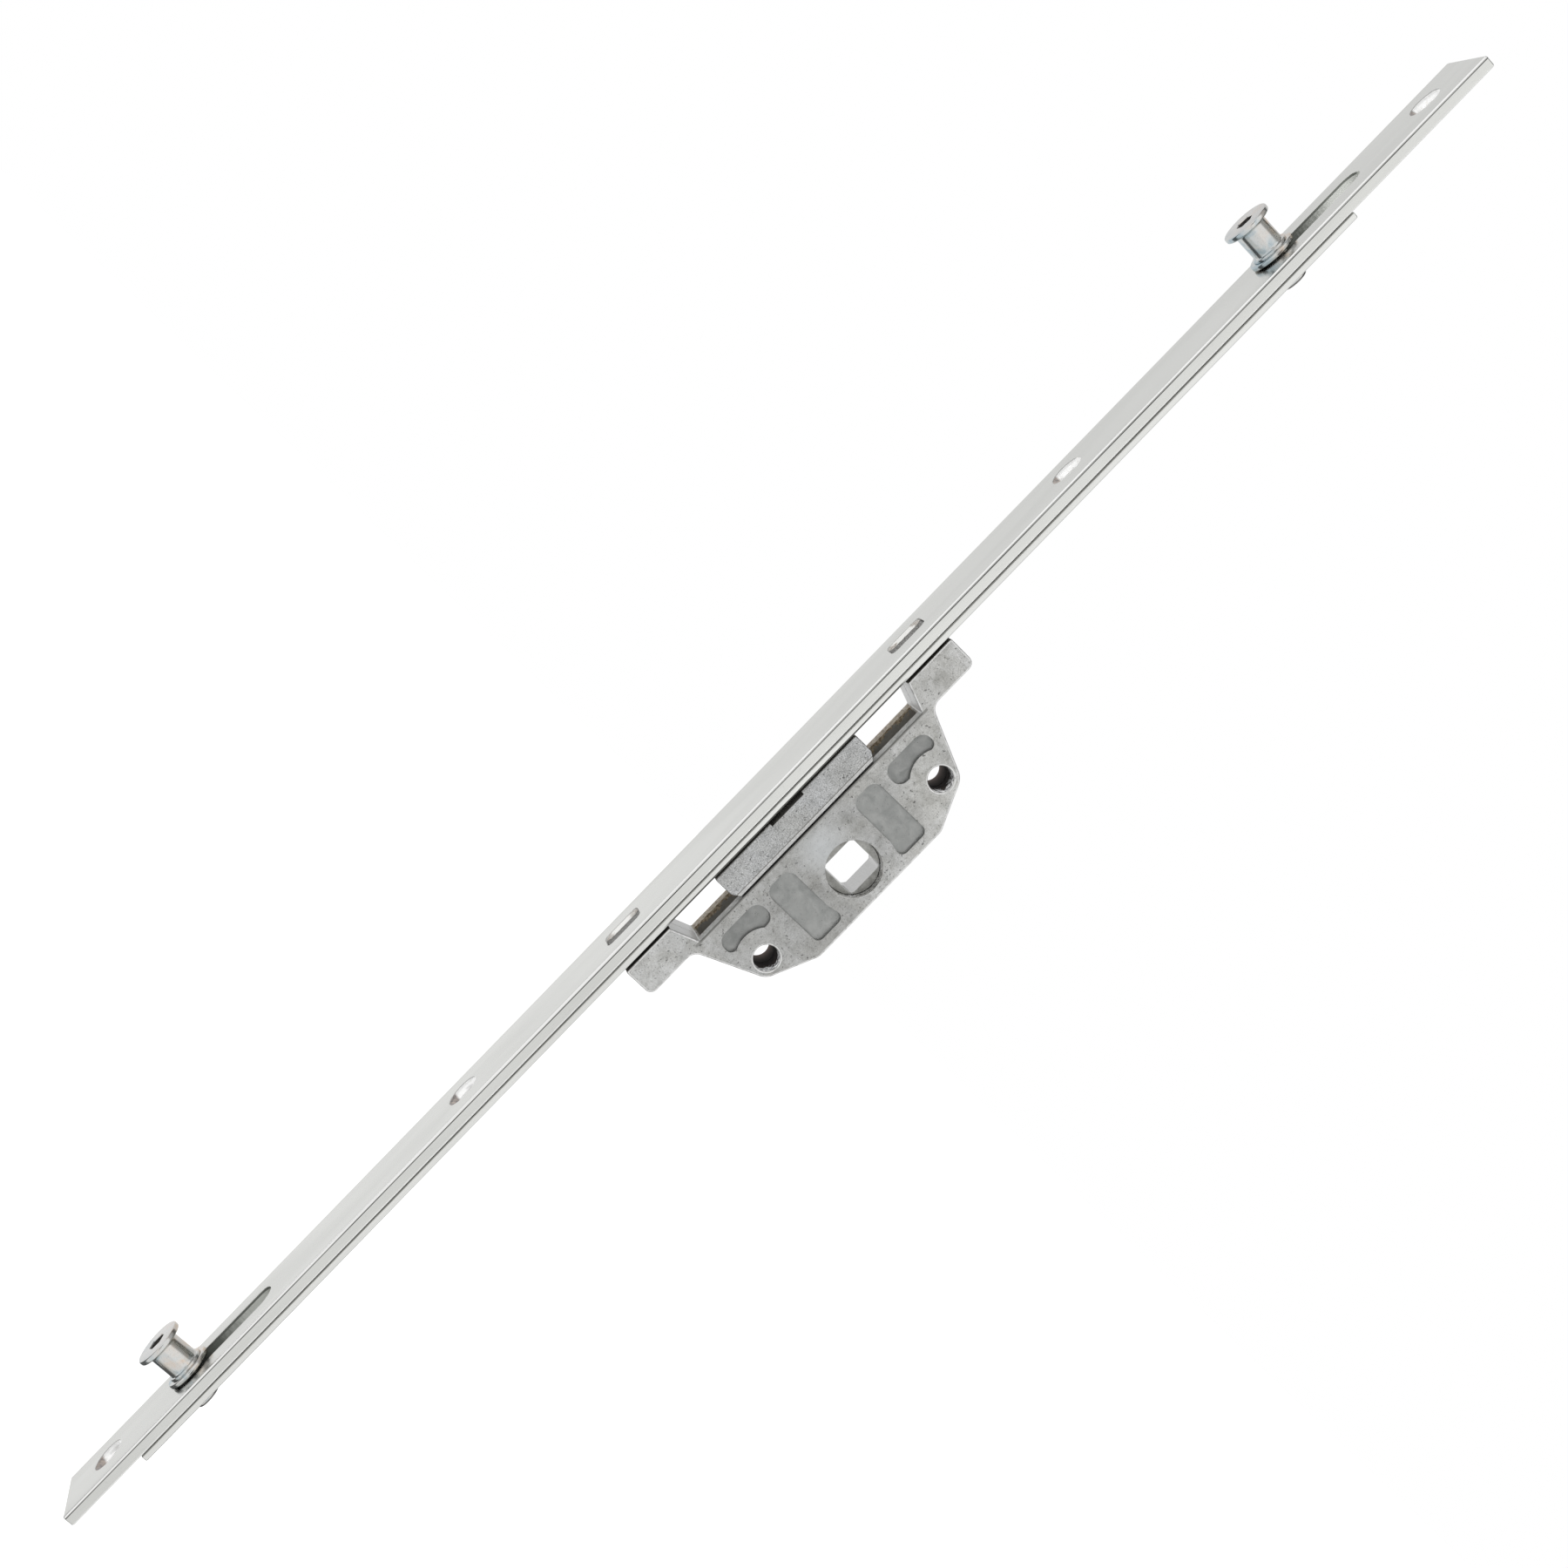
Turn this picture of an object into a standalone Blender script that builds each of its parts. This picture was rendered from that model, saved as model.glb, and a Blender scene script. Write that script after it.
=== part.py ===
"""Window espagnolette gearbox: faceplate, drive rail with two eccentric cams, rack shuttle,
spindle gear and two-part die-cast case.

Everything is laid out in one gear frame, which hangs on the empty gear_frame:
  u  along the faceplate, up the window sash
  h  from the spindle axis towards the faceplate's front
  w  across the sash, towards the handle
World axes: +Z is u, -X is h, -Y is w. The world origin is on the faceplate's front at spindle level.
"""
import math

import bmesh
import bpy
from mathutils import Matrix

# Clearances between neighbours
FLAT_GAP = 0.0002
SIDE_GAP = 0.0003
FLANK_GAP = 0.00012
CUT_EXTRA = 0.001
WELD = 0.000001
ROUND_SEGMENTS = 48
SHARP = math.radians(50)

# Faceplate
BACKSET = 0.0208
FACE_LENGTH = 0.346
FACE_WIDTH = 0.016
FACE_THICK = 0.0024
FACE_EDGE = 0.0004
FIX_FROM_END = 0.0104
FIX_FROM_TENON = 0.03965
FIX_HOLE_D = 0.0044
FIX_SINK_D = 0.0066

# Eccentric cams and the slots that they run in
CAM_SLOT_FROM_END = 0.0388
CAM_SLOT_LENGTH = 0.0241
CAM_SLOT_WIDTH = 0.0060
CAM_PAST_SLOT = 0.00035
CAM_SHANK_D = 0.0050
CAM_THROW = 0.0014
CAM_LOWER_PHASE = math.radians(12)
CAM_UPPER_PHASE = math.radians(64)
CAM_STEM_D = 0.0060
CAM_FLANGE_D = 0.0089
CAM_FLANGE_THICK = 0.0009
CAM_FOOT_D = 0.0070
CAM_FOOT_RISE = 0.00025
CAM_HEAD_D = 0.0091
CAM_HEAD_THICK = 0.0010
CAM_HEIGHT = 0.0078
CAM_ROUND = 0.00025
HEX_FLATS = 0.0030
HEX_DEPTH = 0.0035
HEX_TURN = math.radians(14)
RIVET_SHANK_D = 0.0036
RIVET_HEAD_D = 0.0050
RIVET_HEAD_RISE = 0.0013
RIVET_HEAD_EDGE = 0.0003

# Drive rail
RAIL_SHORTER = 0.0496
RAIL_WIDTH = 0.012
RAIL_THICK = 0.00135
RAIL_EDGE = 0.0003
RAIL_GAP = 0.0005

# Spindle gear and rack
SPINDLE_SQUARE = 0.00705
SPINDLE_CORNER = 0.0008
HUB_D = 0.0099
HUB_LENGTH = 0.0076
GEAR_WIDTH = 0.0054
PITCH_RADIUS = 0.00675
FULL_TURN_TEETH = 15
PRESSURE_ANGLE = math.radians(20)
ADDENDUM = 1.0
DEDENDUM = 1.25
SPINDLE_TURN = math.radians(90)
SECTOR_BEFORE = 1
SECTOR_AFTER = 5
BACK_RADIUS = 0.0053
SECTOR_FOOT = math.radians(42)
RACK_TEETH_LOW = 6
RACK_TEETH_HIGH = 5

# Shuttle block on the rail
SHUTTLE_LENGTH = 0.0344
SHUTTLE_REST = -0.0006
SHUTTLE_TOP_GAP = 0.0003
SHUTTLE_CHAMFER_LENGTH = 0.0010
SHUTTLE_CHAMFER_HEIGHT = 0.0015
SHUTTLE_SKIRT_HEIGHT = 0.0014
SHUTTLE_SKIRT_INSET = 0.00015
SHUTTLE_EDGE = 0.0003
NOTCH_LENGTH = 0.0077
NOTCH_DEPTH = 0.0006
PEG_SPACING = 0.018
PEG_D = 0.0044
PEG_BELOW_RAIL_TOP = 0.00005

# Die-cast case
CASE_WIDTH = 0.012
CASE_WALL = 0.003
CASE_EDGE = 0.00035
PARTING_GAP = 0.0002
TAB_TOP_GAP = 0.0004
TAB_LENGTH = 0.01055
TAB_ROOT_PAST_WINDOW = 0.0002
WINDOW_SLANT = 0.0020
TAB_BOTTOM = 0.01005
CASE_TOP = 0.0106
CASE_BOTTOM = 0.0067
BOTTOM_REACH = 0.0151
TAB_CORNER_R = 0.0014
TAB_ROOT_R = 0.0022
BOTTOM_CORNER_R = 0.0020
SMALL_CORNER_R = 0.0004
HANDLE_SCREW_PITCH = 0.043
HANDLE_SCREW_D = 0.0047
HANDLE_SCREW_LEAD = 0.0003
HANDLE_SCREW_WALL = 0.00105
TENON_FROM_END = 0.0048
TENON_LENGTH = 0.0073
TENON_WIDTH = 0.0054
TENON_SUNK = 0.0007
TENON_CORNER_R = 0.0010
DOWEL_D = 0.0024
DOWEL_LENGTH = 0.0018
DOWEL_TAB_H = 0.0131
DOWEL_FOOT_U = 0.0122
DOWEL_FOOT_H = -0.0030

# Shallow recesses in both faces of the case
RECESS_DEPTH = 0.0008
RECESS_TOP = 0.0085
TALL_INNER = 0.0077
TALL_INNER_FOOT = 0.0070
TALL_OUTER = 0.0135
TALL_BOTTOM = -0.0048
TALL_FLARE_H = -0.0012
TALL_TOP_R = 0.0019
TALL_BOTTOM_R = 0.0012
KIDNEY_BEFORE_SCREW = 0.0061
KIDNEY_PAST_SCREW = 0.0038
KIDNEY_BOTTOM = 0.0041
KIDNEY_LOBE_H = 0.0049
KIDNEY_ROUND_R = 0.0055
KIDNEY_TOP_R = 0.0020
KIDNEY_INNER_R = 0.0018
KIDNEY_LOBE_R = 0.0012

# Sizes worked out from the ones above
MODULE = 2 * PITCH_RADIUS / FULL_TURN_TEETH
TOOTH_PITCH = math.pi * MODULE
TRAVEL = PITCH_RADIUS * SPINDLE_TURN
WINDOW_BOTTOM_REACH = SHUTTLE_REST + SHUTTLE_LENGTH / 2 + TRAVEL
WINDOW_TOP_REACH = WINDOW_BOTTOM_REACH + WINDOW_SLANT
TAB_ROOT_U = WINDOW_TOP_REACH + TAB_ROOT_PAST_WINDOW
TAB_REACH = WINDOW_TOP_REACH + TAB_LENGTH
TENON_AT = TAB_REACH - TENON_FROM_END
FIX_INNER = TENON_AT + FIX_FROM_TENON
FIX_OUTER = FACE_LENGTH / 2 - FIX_FROM_END
CAM_SLOT_AT = FACE_LENGTH / 2 - CAM_SLOT_FROM_END
CAM_AT = CAM_SLOT_AT + CAM_PAST_SLOT
RAIL_LENGTH = FACE_LENGTH - RAIL_SHORTER
RAIL_REST = CAM_PAST_SLOT - (CAM_SLOT_LENGTH - CAM_SHANK_D) / 2 + SIDE_GAP
FACE_BACK = BACKSET - FACE_THICK
RAIL_TOP = FACE_BACK - RAIL_GAP
RAIL_BOTTOM = RAIL_TOP - RAIL_THICK
TAB_TOP = RAIL_BOTTOM - TAB_TOP_GAP
SHUTTLE_TOP = RAIL_BOTTOM - SHUTTLE_TOP_GAP
SHUTTLE_BOTTOM = CASE_TOP + SIDE_GAP
SLOT_HALF = CASE_WIDTH / 2 - CASE_WALL
RACK_ROOT = PITCH_RADIUS + DEDENDUM * MODULE
RACK_TIP = PITCH_RADIUS - ADDENDUM * MODULE
GEAR_TIP = PITCH_RADIUS + ADDENDUM * MODULE
GEAR_ROOT = PITCH_RADIUS - DEDENDUM * MODULE
RACK_LOW_END = -RACK_TEETH_LOW * TOOTH_PITCH
RACK_HIGH_END = RACK_TEETH_HIGH * TOOTH_PITCH

# Turns a piece modelled about its own Z so that its Z points along h
ALONG_H = (-math.pi / 2, 0, 0)


def clear_scene():
    for obj in list(bpy.data.objects):
        bpy.data.objects.remove(obj, do_unlink=True)
    for coll in list(bpy.data.collections):
        bpy.data.collections.remove(coll)


def new_collection(name):
    coll = bpy.data.collections.new(name)
    bpy.context.scene.collection.children.link(coll)
    return coll


def metal(name, colour, roughness):
    mat = bpy.data.materials.new(name)
    mat.use_nodes = True
    shader = mat.node_tree.nodes["Principled BSDF"]
    shader.inputs["Base Color"].default_value = (*colour, 1)
    shader.inputs["Roughness"].default_value = roughness
    shader.inputs["Metallic"].default_value = 1
    return mat


def arc(centre, radius, start, end, count):
    """Points on an arc from the angle start to the angle end, both ends included."""
    step = (end - start) / (count - 1)
    return [(centre[0] + radius * math.cos(start + i * step),
             centre[1] + radius * math.sin(start + i * step)) for i in range(count)]


def rounded(corners, count=6):
    """Outline through corners (u, h, radius) with an arc at each corner that has a radius."""
    points = []
    for index, (u, h, radius) in enumerate(corners):
        if radius == 0:
            points.append((u, h))
            continue
        before = corners[index - 1]
        after = corners[(index + 1) % len(corners)]
        back = math.atan2(before[1] - h, before[0] - u)
        ahead = math.atan2(after[1] - h, after[0] - u)
        opening = (ahead - back + math.pi) % (2 * math.pi) - math.pi
        reach = radius / math.sin(abs(opening) / 2)
        middle = back + opening / 2
        centre = (u + reach * math.cos(middle), h + reach * math.sin(middle))
        swing = math.copysign(math.pi - abs(opening), opening)
        start = middle + math.pi + swing / 2
        points += arc(centre, radius, start, start - swing, count)
    return points


def mirrored(points):
    return [(-u, h) for u, h in reversed(points)]


def slot_outline(length, width):
    """Slot with round ends, centred on the origin and lying along the first axis."""
    radius = width / 2
    reach = length / 2 - radius
    right = arc((reach, 0), radius, -math.pi / 2, math.pi / 2, 13)
    return right + [(-u, -h) for u, h in right]


def rectangle(length, width, radius):
    half_l = length / 2
    half_w = width / 2
    return rounded([(half_l, -half_w, radius), (half_l, half_w, radius),
                    (-half_l, half_w, radius), (-half_l, -half_w, radius)])


class Workshop:
    """Puts pieces and cutters into their collections, on the empty that carries the gear frame."""

    def __init__(self):
        self.pieces = new_collection("window_espagnolette_gearbox")
        self.cutters = new_collection("cutters")
        turn = Matrix(((0, -1, 0), (0, 0, -1), (1, 0, 0))).to_euler()
        self.frame = self.empty("gear_frame", (BACKSET, 0, 0), turn, None)

    def empty(self, name, location, rotation, parent):
        obj = bpy.data.objects.new(name, None)
        obj.empty_display_size = BACKSET
        self.pieces.objects.link(obj)
        obj.parent = parent
        obj.location = location
        obj.rotation_euler = rotation
        return obj

    def cutter(self, name, mesh, location=(0, 0, 0), rotation=(0, 0, 0), parent=None):
        obj = bpy.data.objects.new(name, mesh)
        self.cutters.objects.link(obj)
        obj.hide_render = True
        obj.display_type = "WIRE"
        obj.parent = parent or self.frame
        obj.location = location
        obj.rotation_euler = rotation
        return obj

    def piece(self, name, mesh, material, location=(0, 0, 0), rotation=(0, 0, 0), parent=None):
        mesh.materials.append(material)
        obj = bpy.data.objects.new(name, mesh)
        self.pieces.objects.link(obj)
        obj.parent = parent or self.frame
        obj.location = location
        obj.rotation_euler = rotation
        return obj


def prism(name, points, low, high):
    """Mesh of a flat outline that reaches from low to high along its own Z."""
    curve = bpy.data.curves.new(name, "CURVE")
    curve.dimensions = "2D"
    curve.fill_mode = "BOTH"
    curve.extrude = (high - low) / 2
    spline = curve.splines.new("POLY")
    spline.points.add(len(points) - 1)
    for spot, (across, along) in zip(spline.points, points):
        spot.co = (across, along, 0, 1)
    spline.use_cyclic_u = True
    carrier = bpy.data.objects.new(name, curve)
    bpy.context.scene.collection.objects.link(carrier)
    graph = bpy.context.evaluated_depsgraph_get()
    mesh = bpy.data.meshes.new_from_object(carrier.evaluated_get(graph))
    bpy.data.objects.remove(carrier, do_unlink=True)
    bpy.data.curves.remove(curve)
    mesh.transform(Matrix.Translation((0, 0, (low + high) / 2)))
    form = bmesh.new()
    form.from_mesh(mesh)
    bmesh.ops.remove_doubles(form, verts=form.verts, dist=WELD)
    for level in (low, high):
        cap = [face for face in form.faces
               if all(abs(spot.co.z - level) < WELD for spot in face.verts)]
        bmesh.ops.dissolve_faces(form, faces=cap)
    bmesh.ops.recalc_face_normals(form, faces=form.faces)
    form.to_mesh(mesh)
    form.free()
    return mesh


def round_bar(name, low, high, low_radius, high_radius, segments=ROUND_SEGMENTS):
    """Mesh of a bar or cone about its own Z."""
    mesh = bpy.data.meshes.new(name)
    form = bmesh.new()
    bmesh.ops.create_cone(form, cap_ends=True, segments=segments, radius1=low_radius,
                          radius2=high_radius, depth=high - low,
                          matrix=Matrix.Translation((0, 0, (low + high) / 2)))
    form.to_mesh(mesh)
    form.free()
    return mesh


def block(name, low, high):
    """Mesh of a box between two corners."""
    size = [b - a for a, b in zip(low, high)]
    middle = [(a + b) / 2 for a, b in zip(low, high)]
    mesh = bpy.data.meshes.new(name)
    form = bmesh.new()
    bmesh.ops.create_cube(form, size=1, matrix=Matrix.Translation(middle) @ Matrix.Diagonal((*size, 1)))
    form.to_mesh(mesh)
    form.free()
    return mesh


def profile_line(name, profile):
    """Open mesh line through (radius, z), listed down the outer side of a turned shape."""
    mesh = bpy.data.meshes.new(name)
    form = bmesh.new()
    spots = [form.verts.new((radius, 0, z)) for radius, z in profile]
    for upper, lower in zip(spots, spots[1:]):
        form.edges.new((upper, lower))
    form.to_mesh(mesh)
    form.free()
    return mesh


def turn_round(obj):
    """Turns a profile line about the object's own Z."""
    screw = obj.modifiers.new("turn", "SCREW")
    screw.angle = 2 * math.pi
    screw.steps = ROUND_SEGMENTS
    screw.render_steps = ROUND_SEGMENTS
    screw.axis = "Z"
    screw.use_merge_vertices = True
    screw.merge_threshold = WELD
    screw.use_smooth_shade = True
    return obj


def combine(obj, other, operation="DIFFERENCE"):
    step = obj.modifiers.new(other.name, "BOOLEAN")
    step.operation = operation
    step.solver = "EXACT"
    step.object = other
    return step


def ease_edges(obj, width, segments=2, test=None):
    """Rounds the sharp edges, or only those that the test picks by their two end points."""
    step = obj.modifiers.new("ease", "BEVEL")
    step.width = width
    step.segments = segments
    if test is None:
        step.limit_method = "ANGLE"
        step.angle_limit = SHARP
        return
    step.limit_method = "WEIGHT"
    form = bmesh.new()
    form.from_mesh(obj.data)
    weights = form.edges.layers.float.new("bevel_weight_edge")
    for edge in form.edges:
        ends = [spot.co for spot in edge.verts]
        edge[weights] = float(edge.calc_face_angle() > SHARP and test(*ends))
    form.to_mesh(obj.data)
    form.free()


def shade_round(obj):
    obj.data.shade_smooth()
    obj.data.set_sharp_from_angle(angle=math.radians(35))


def faceplate(shop, steel):
    low = (-FACE_LENGTH / 2, FACE_BACK, -FACE_WIDTH / 2)
    high = (FACE_LENGTH / 2, BACKSET, FACE_WIDTH / 2)
    plate = shop.piece("faceplate", block("faceplate", low, high), steel)
    ease_edges(plate, FACE_EDGE)
    start = FACE_BACK - CUT_EXTRA
    stop = BACKSET + CUT_EXTRA
    for side in (-1, 1):
        cam_slot = prism("cam_slot", slot_outline(CAM_SLOT_LENGTH, CAM_SLOT_WIDTH), start, stop)
        combine(plate, shop.cutter("cam_slot_cut", cam_slot, (side * CAM_SLOT_AT, 0, 0), ALONG_H))
        tenon_slot = prism("tenon_slot", rectangle(TENON_LENGTH + 2 * SIDE_GAP, TENON_WIDTH + 2 * SIDE_GAP,
                                                   TENON_CORNER_R + SIDE_GAP), start, stop)
        combine(plate, shop.cutter("tenon_slot_cut", tenon_slot, (side * TENON_AT, 0, 0), ALONG_H))
        for along in (FIX_INNER, FIX_OUTER):
            sink_depth = (FIX_SINK_D - FIX_HOLE_D) / 2
            profile = [(0, stop), (FIX_SINK_D / 2 + CUT_EXTRA, stop), (FIX_SINK_D / 2, BACKSET),
                       (FIX_HOLE_D / 2, BACKSET - sink_depth), (FIX_HOLE_D / 2, start), (0, start)]
            sink = shop.cutter("screw_sink_cut", profile_line("sink", profile),
                               (side * along, 0, 0), ALONG_H)
            combine(plate, turn_round(sink))
    shade_round(plate)


def drive_rail(shop, steel):
    low = (-RAIL_LENGTH / 2, RAIL_BOTTOM, -RAIL_WIDTH / 2)
    high = (RAIL_LENGTH / 2, RAIL_TOP, RAIL_WIDTH / 2)
    rail = shop.piece("drive_rail", block("drive_rail", low, high), steel, (RAIL_REST, 0, 0))
    ease_edges(rail, RAIL_EDGE)
    start = RAIL_BOTTOM - CUT_EXTRA
    stop = RAIL_TOP + CUT_EXTRA
    # What is fixed passes through slots that are longer by the travel
    middle = RAIL_REST + TRAVEL / 2
    for side in (-1, 1):
        run = TRAVEL + 4 * SIDE_GAP
        tenon_run = rectangle(TENON_LENGTH + run, TENON_WIDTH + 2 * SIDE_GAP, TENON_CORNER_R)
        screw_run = slot_outline(FIX_HOLE_D + run, FIX_HOLE_D + 2 * SIDE_GAP)
        for along, outline in ((TENON_AT, tenon_run), (FIX_INNER, screw_run)):
            cut = shop.cutter("rail_slot_cut", prism("rail_slot", outline, start, stop),
                             (side * along + RAIL_REST - middle, 0, 0), ALONG_H)
            combine(rail, cut)
        rivet_at = side * CAM_AT + RAIL_REST
        peg_at = SHUTTLE_REST + side * PEG_SPACING / 2
        for name, at, size in (("rivet", rivet_at, RIVET_SHANK_D), ("peg", peg_at, PEG_D)):
            radius = size / 2 + SIDE_GAP
            hole = round_bar(name + "_hole", start, stop, radius, radius)
            combine(rail, shop.cutter(name + "_hole_cut", hole, (at, 0, 0), ALONG_H))
    shade_round(rail)


def quarter(edge_radius, edge_z, ease, start, end, count=3):
    """Quarter round at the corner (edge_radius, edge_z); a negative ease rounds a lower edge."""
    size = abs(ease)
    centre = (edge_radius - size, edge_z - ease)
    return arc(centre, size, math.radians(start), math.radians(end), count)


def mushroom_profile():
    seat = BACKSET + FLAT_GAP
    flange_top = seat + CAM_FLANGE_THICK
    head_top = BACKSET + CAM_HEIGHT
    head_under = head_top - CAM_HEAD_THICK
    flange_r = CAM_FLANGE_D / 2
    head_r = CAM_HEAD_D / 2
    foot_r = CAM_FOOT_D / 2
    head = ([(0, head_top)] + quarter(head_r, head_top, CAM_ROUND, 90, 0)
            + quarter(head_r, head_under, -CAM_ROUND, 0, -90))
    stem = [(CAM_STEM_D / 2, head_under), (CAM_STEM_D / 2, flange_top + 2 * CAM_FOOT_RISE),
            (foot_r, flange_top + CAM_FOOT_RISE), (foot_r, flange_top)]
    flange = (quarter(flange_r, flange_top, CAM_ROUND, 90, 0)
              + quarter(flange_r, seat, -CAM_ROUND, 0, -90) + [(0, seat)])
    return head + stem + flange


def rivet_profile():
    inside = BACKSET + FLAT_GAP + CAM_FLANGE_THICK / 2
    shoulder = RAIL_TOP + FLAT_GAP / 2
    shank_r = CAM_SHANK_D / 2
    neck_r = RIVET_SHANK_D / 2
    head_r = RIVET_HEAD_D / 2
    seat = RAIL_BOTTOM - FLAT_GAP / 2
    foot = seat - RIVET_HEAD_RISE
    return [(0, inside), (shank_r, inside), (shank_r, shoulder), (neck_r, shoulder),
            (neck_r, seat), (head_r, seat), (head_r, foot + RIVET_HEAD_EDGE),
            (head_r - RIVET_HEAD_EDGE, foot), (0, foot)]


def cam(shop, steel, name, along, phase):
    """Mushroom cam that stands off its rivet by the throw; the empty is on the rivet's axis."""
    axle = shop.empty(name + "_axle", (along, 0, 0), (ALONG_H[0], phase, 0), shop.frame)
    off_axle = (CAM_THROW, 0, 0)
    mushroom = shop.piece(name, profile_line(name, mushroom_profile()), steel, off_axle, (0, 0, 0), axle)
    turn_round(mushroom)
    rivet = shop.cutter(name + "_rivet", profile_line("rivet", rivet_profile()), (0, 0, 0), (0, 0, 0), axle)
    combine(mushroom, turn_round(rivet), "UNION")
    top = BACKSET + CAM_HEIGHT
    hex_radius = HEX_FLATS / 2 / math.cos(math.pi / 6)
    socket = round_bar("hex_socket", top - HEX_DEPTH, top + CUT_EXTRA, hex_radius, hex_radius, 6)
    combine(mushroom, shop.cutter(name + "_hex_cut", socket, off_axle, (0, 0, HEX_TURN), axle))


def involute(base, radius):
    """Angle that an involute from the base circle has turned through at a radius."""
    if radius <= base:
        return 0.0
    pressure = math.acos(base / radius)
    return math.tan(pressure) - pressure


def gear_outline():
    """Toothed sector of the spindle gear; a tooth is centred on the rack at rest."""
    base = PITCH_RADIUS * math.cos(PRESSURE_ANGLE)
    tooth_angle = 2 * math.pi / FULL_TURN_TEETH
    half_at_pitch = tooth_angle / 4 - FLANK_GAP / 2 / PITCH_RADIUS
    half_at_base = half_at_pitch + involute(base, PITCH_RADIUS)
    radii = [base + (GEAR_TIP - base) * step / 4 for step in range(5)]
    points = []
    for tooth in range(-SECTOR_BEFORE, SECTOR_AFTER + 1):
        centre = math.pi / 2 + tooth * tooth_angle
        near = [(radius, centre - half_at_base + involute(base, radius)) for radius in radii]
        far = [(radius, centre + half_at_base - involute(base, radius)) for radius in reversed(radii)]
        flank = [(GEAR_ROOT, centre - half_at_base)] + near + far + [(GEAR_ROOT, centre + half_at_base)]
        points += [(radius * math.cos(angle), radius * math.sin(angle)) for radius, angle in flank]
    start = math.pi / 2 + (SECTOR_AFTER + 0.5) * tooth_angle
    end = math.pi / 2 - (SECTOR_BEFORE + 0.5) * tooth_angle + 2 * math.pi
    return points + arc((0, 0), BACK_RADIUS, start, end, 25)


def spindle_gear(shop, steel):
    sector = prism("spindle_gear", gear_outline(), -GEAR_WIDTH / 2, GEAR_WIDTH / 2)
    gear = shop.piece("spindle_gear", sector, steel)
    hub = round_bar("hub", -HUB_LENGTH / 2, HUB_LENGTH / 2, HUB_D / 2, HUB_D / 2)
    combine(gear, shop.cutter("hub_join", hub), "UNION")
    reach = HUB_LENGTH / 2 + CUT_EXTRA
    square = prism("square", rectangle(SPINDLE_SQUARE, SPINDLE_SQUARE, SPINDLE_CORNER), -reach, reach)
    combine(gear, shop.cutter("square_cut", square))
    shade_round(gear)


def rack_outline():
    """Web under the shuttle with straight-sided teeth; a space is centred on the gear at rest."""
    slope = math.tan(PRESSURE_ANGLE)
    half_at_pitch = TOOTH_PITCH / 4 - FLANK_GAP / 2
    half_at_root = half_at_pitch + (RACK_ROOT - PITCH_RADIUS) * slope
    half_at_tip = half_at_pitch - (PITCH_RADIUS - RACK_TIP) * slope
    points = [(RACK_HIGH_END, SHUTTLE_BOTTOM + SHUTTLE_SKIRT_HEIGHT),
              (RACK_LOW_END, SHUTTLE_BOTTOM + SHUTTLE_SKIRT_HEIGHT), (RACK_LOW_END, RACK_ROOT)]
    for tooth in range(-RACK_TEETH_LOW, RACK_TEETH_HIGH):
        centre = (tooth + 0.5) * TOOTH_PITCH
        points += [(centre - half_at_root, RACK_ROOT), (centre - half_at_tip, RACK_TIP),
                   (centre + half_at_tip, RACK_TIP), (centre + half_at_root, RACK_ROOT)]
    return points + [(RACK_HIGH_END, RACK_ROOT)]


def shuttle(shop, zinc):
    half = SHUTTLE_LENGTH / 2
    body_low = SHUTTLE_BOTTOM + SHUTTLE_SKIRT_HEIGHT
    body = [(SHUTTLE_REST - half, SHUTTLE_TOP, SMALL_CORNER_R),
            (SHUTTLE_REST - half, SHUTTLE_BOTTOM + SHUTTLE_CHAMFER_HEIGHT, 0),
            (SHUTTLE_REST - half + SHUTTLE_CHAMFER_LENGTH, SHUTTLE_BOTTOM, 0),
            (SHUTTLE_REST + half - SHUTTLE_CHAMFER_LENGTH, SHUTTLE_BOTTOM, 0),
            (SHUTTLE_REST + half, SHUTTLE_BOTTOM + SHUTTLE_CHAMFER_HEIGHT, 0),
            (SHUTTLE_REST + half, SHUTTLE_TOP, SMALL_CORNER_R)]
    side = CASE_WIDTH / 2
    carriage = shop.piece("rack_shuttle", prism("rack_shuttle", rounded(body), -side, side), zinc)
    ease_edges(carriage, SHUTTLE_EDGE, 2, lambda a, b: abs(a.z - b.z) < WELD)
    for face in (-1, 1):
        near, far = sorted((face * (side - SHUTTLE_SKIRT_INSET), face * (side + CUT_EXTRA)))
        skirt = block("skirt", (SHUTTLE_REST - half - CUT_EXTRA, SHUTTLE_BOTTOM - CUT_EXTRA, near),
                      (SHUTTLE_REST + half + CUT_EXTRA, body_low, far))
        combine(carriage, shop.cutter("skirt_cut", skirt))
    notch = block("notch", (SHUTTLE_REST - NOTCH_LENGTH / 2, SHUTTLE_TOP - NOTCH_DEPTH, -side - CUT_EXTRA),
                  (SHUTTLE_REST + NOTCH_LENGTH / 2, SHUTTLE_TOP + CUT_EXTRA, side + CUT_EXTRA))
    combine(carriage, shop.cutter("notch_cut", notch))
    rack = prism("rack", rack_outline(), -GEAR_WIDTH / 2, GEAR_WIDTH / 2)
    combine(carriage, shop.cutter("rack_join", rack), "UNION")
    for end in (-1, 1):
        peg = round_bar("peg", SHUTTLE_TOP - NOTCH_DEPTH, RAIL_TOP - PEG_BELOW_RAIL_TOP, PEG_D / 2, PEG_D / 2)
        spot = (SHUTTLE_REST + end * PEG_SPACING / 2, 0, 0)
        combine(carriage, shop.cutter("peg_join", peg, spot, ALONG_H), "UNION")
    shade_round(carriage)


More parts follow.
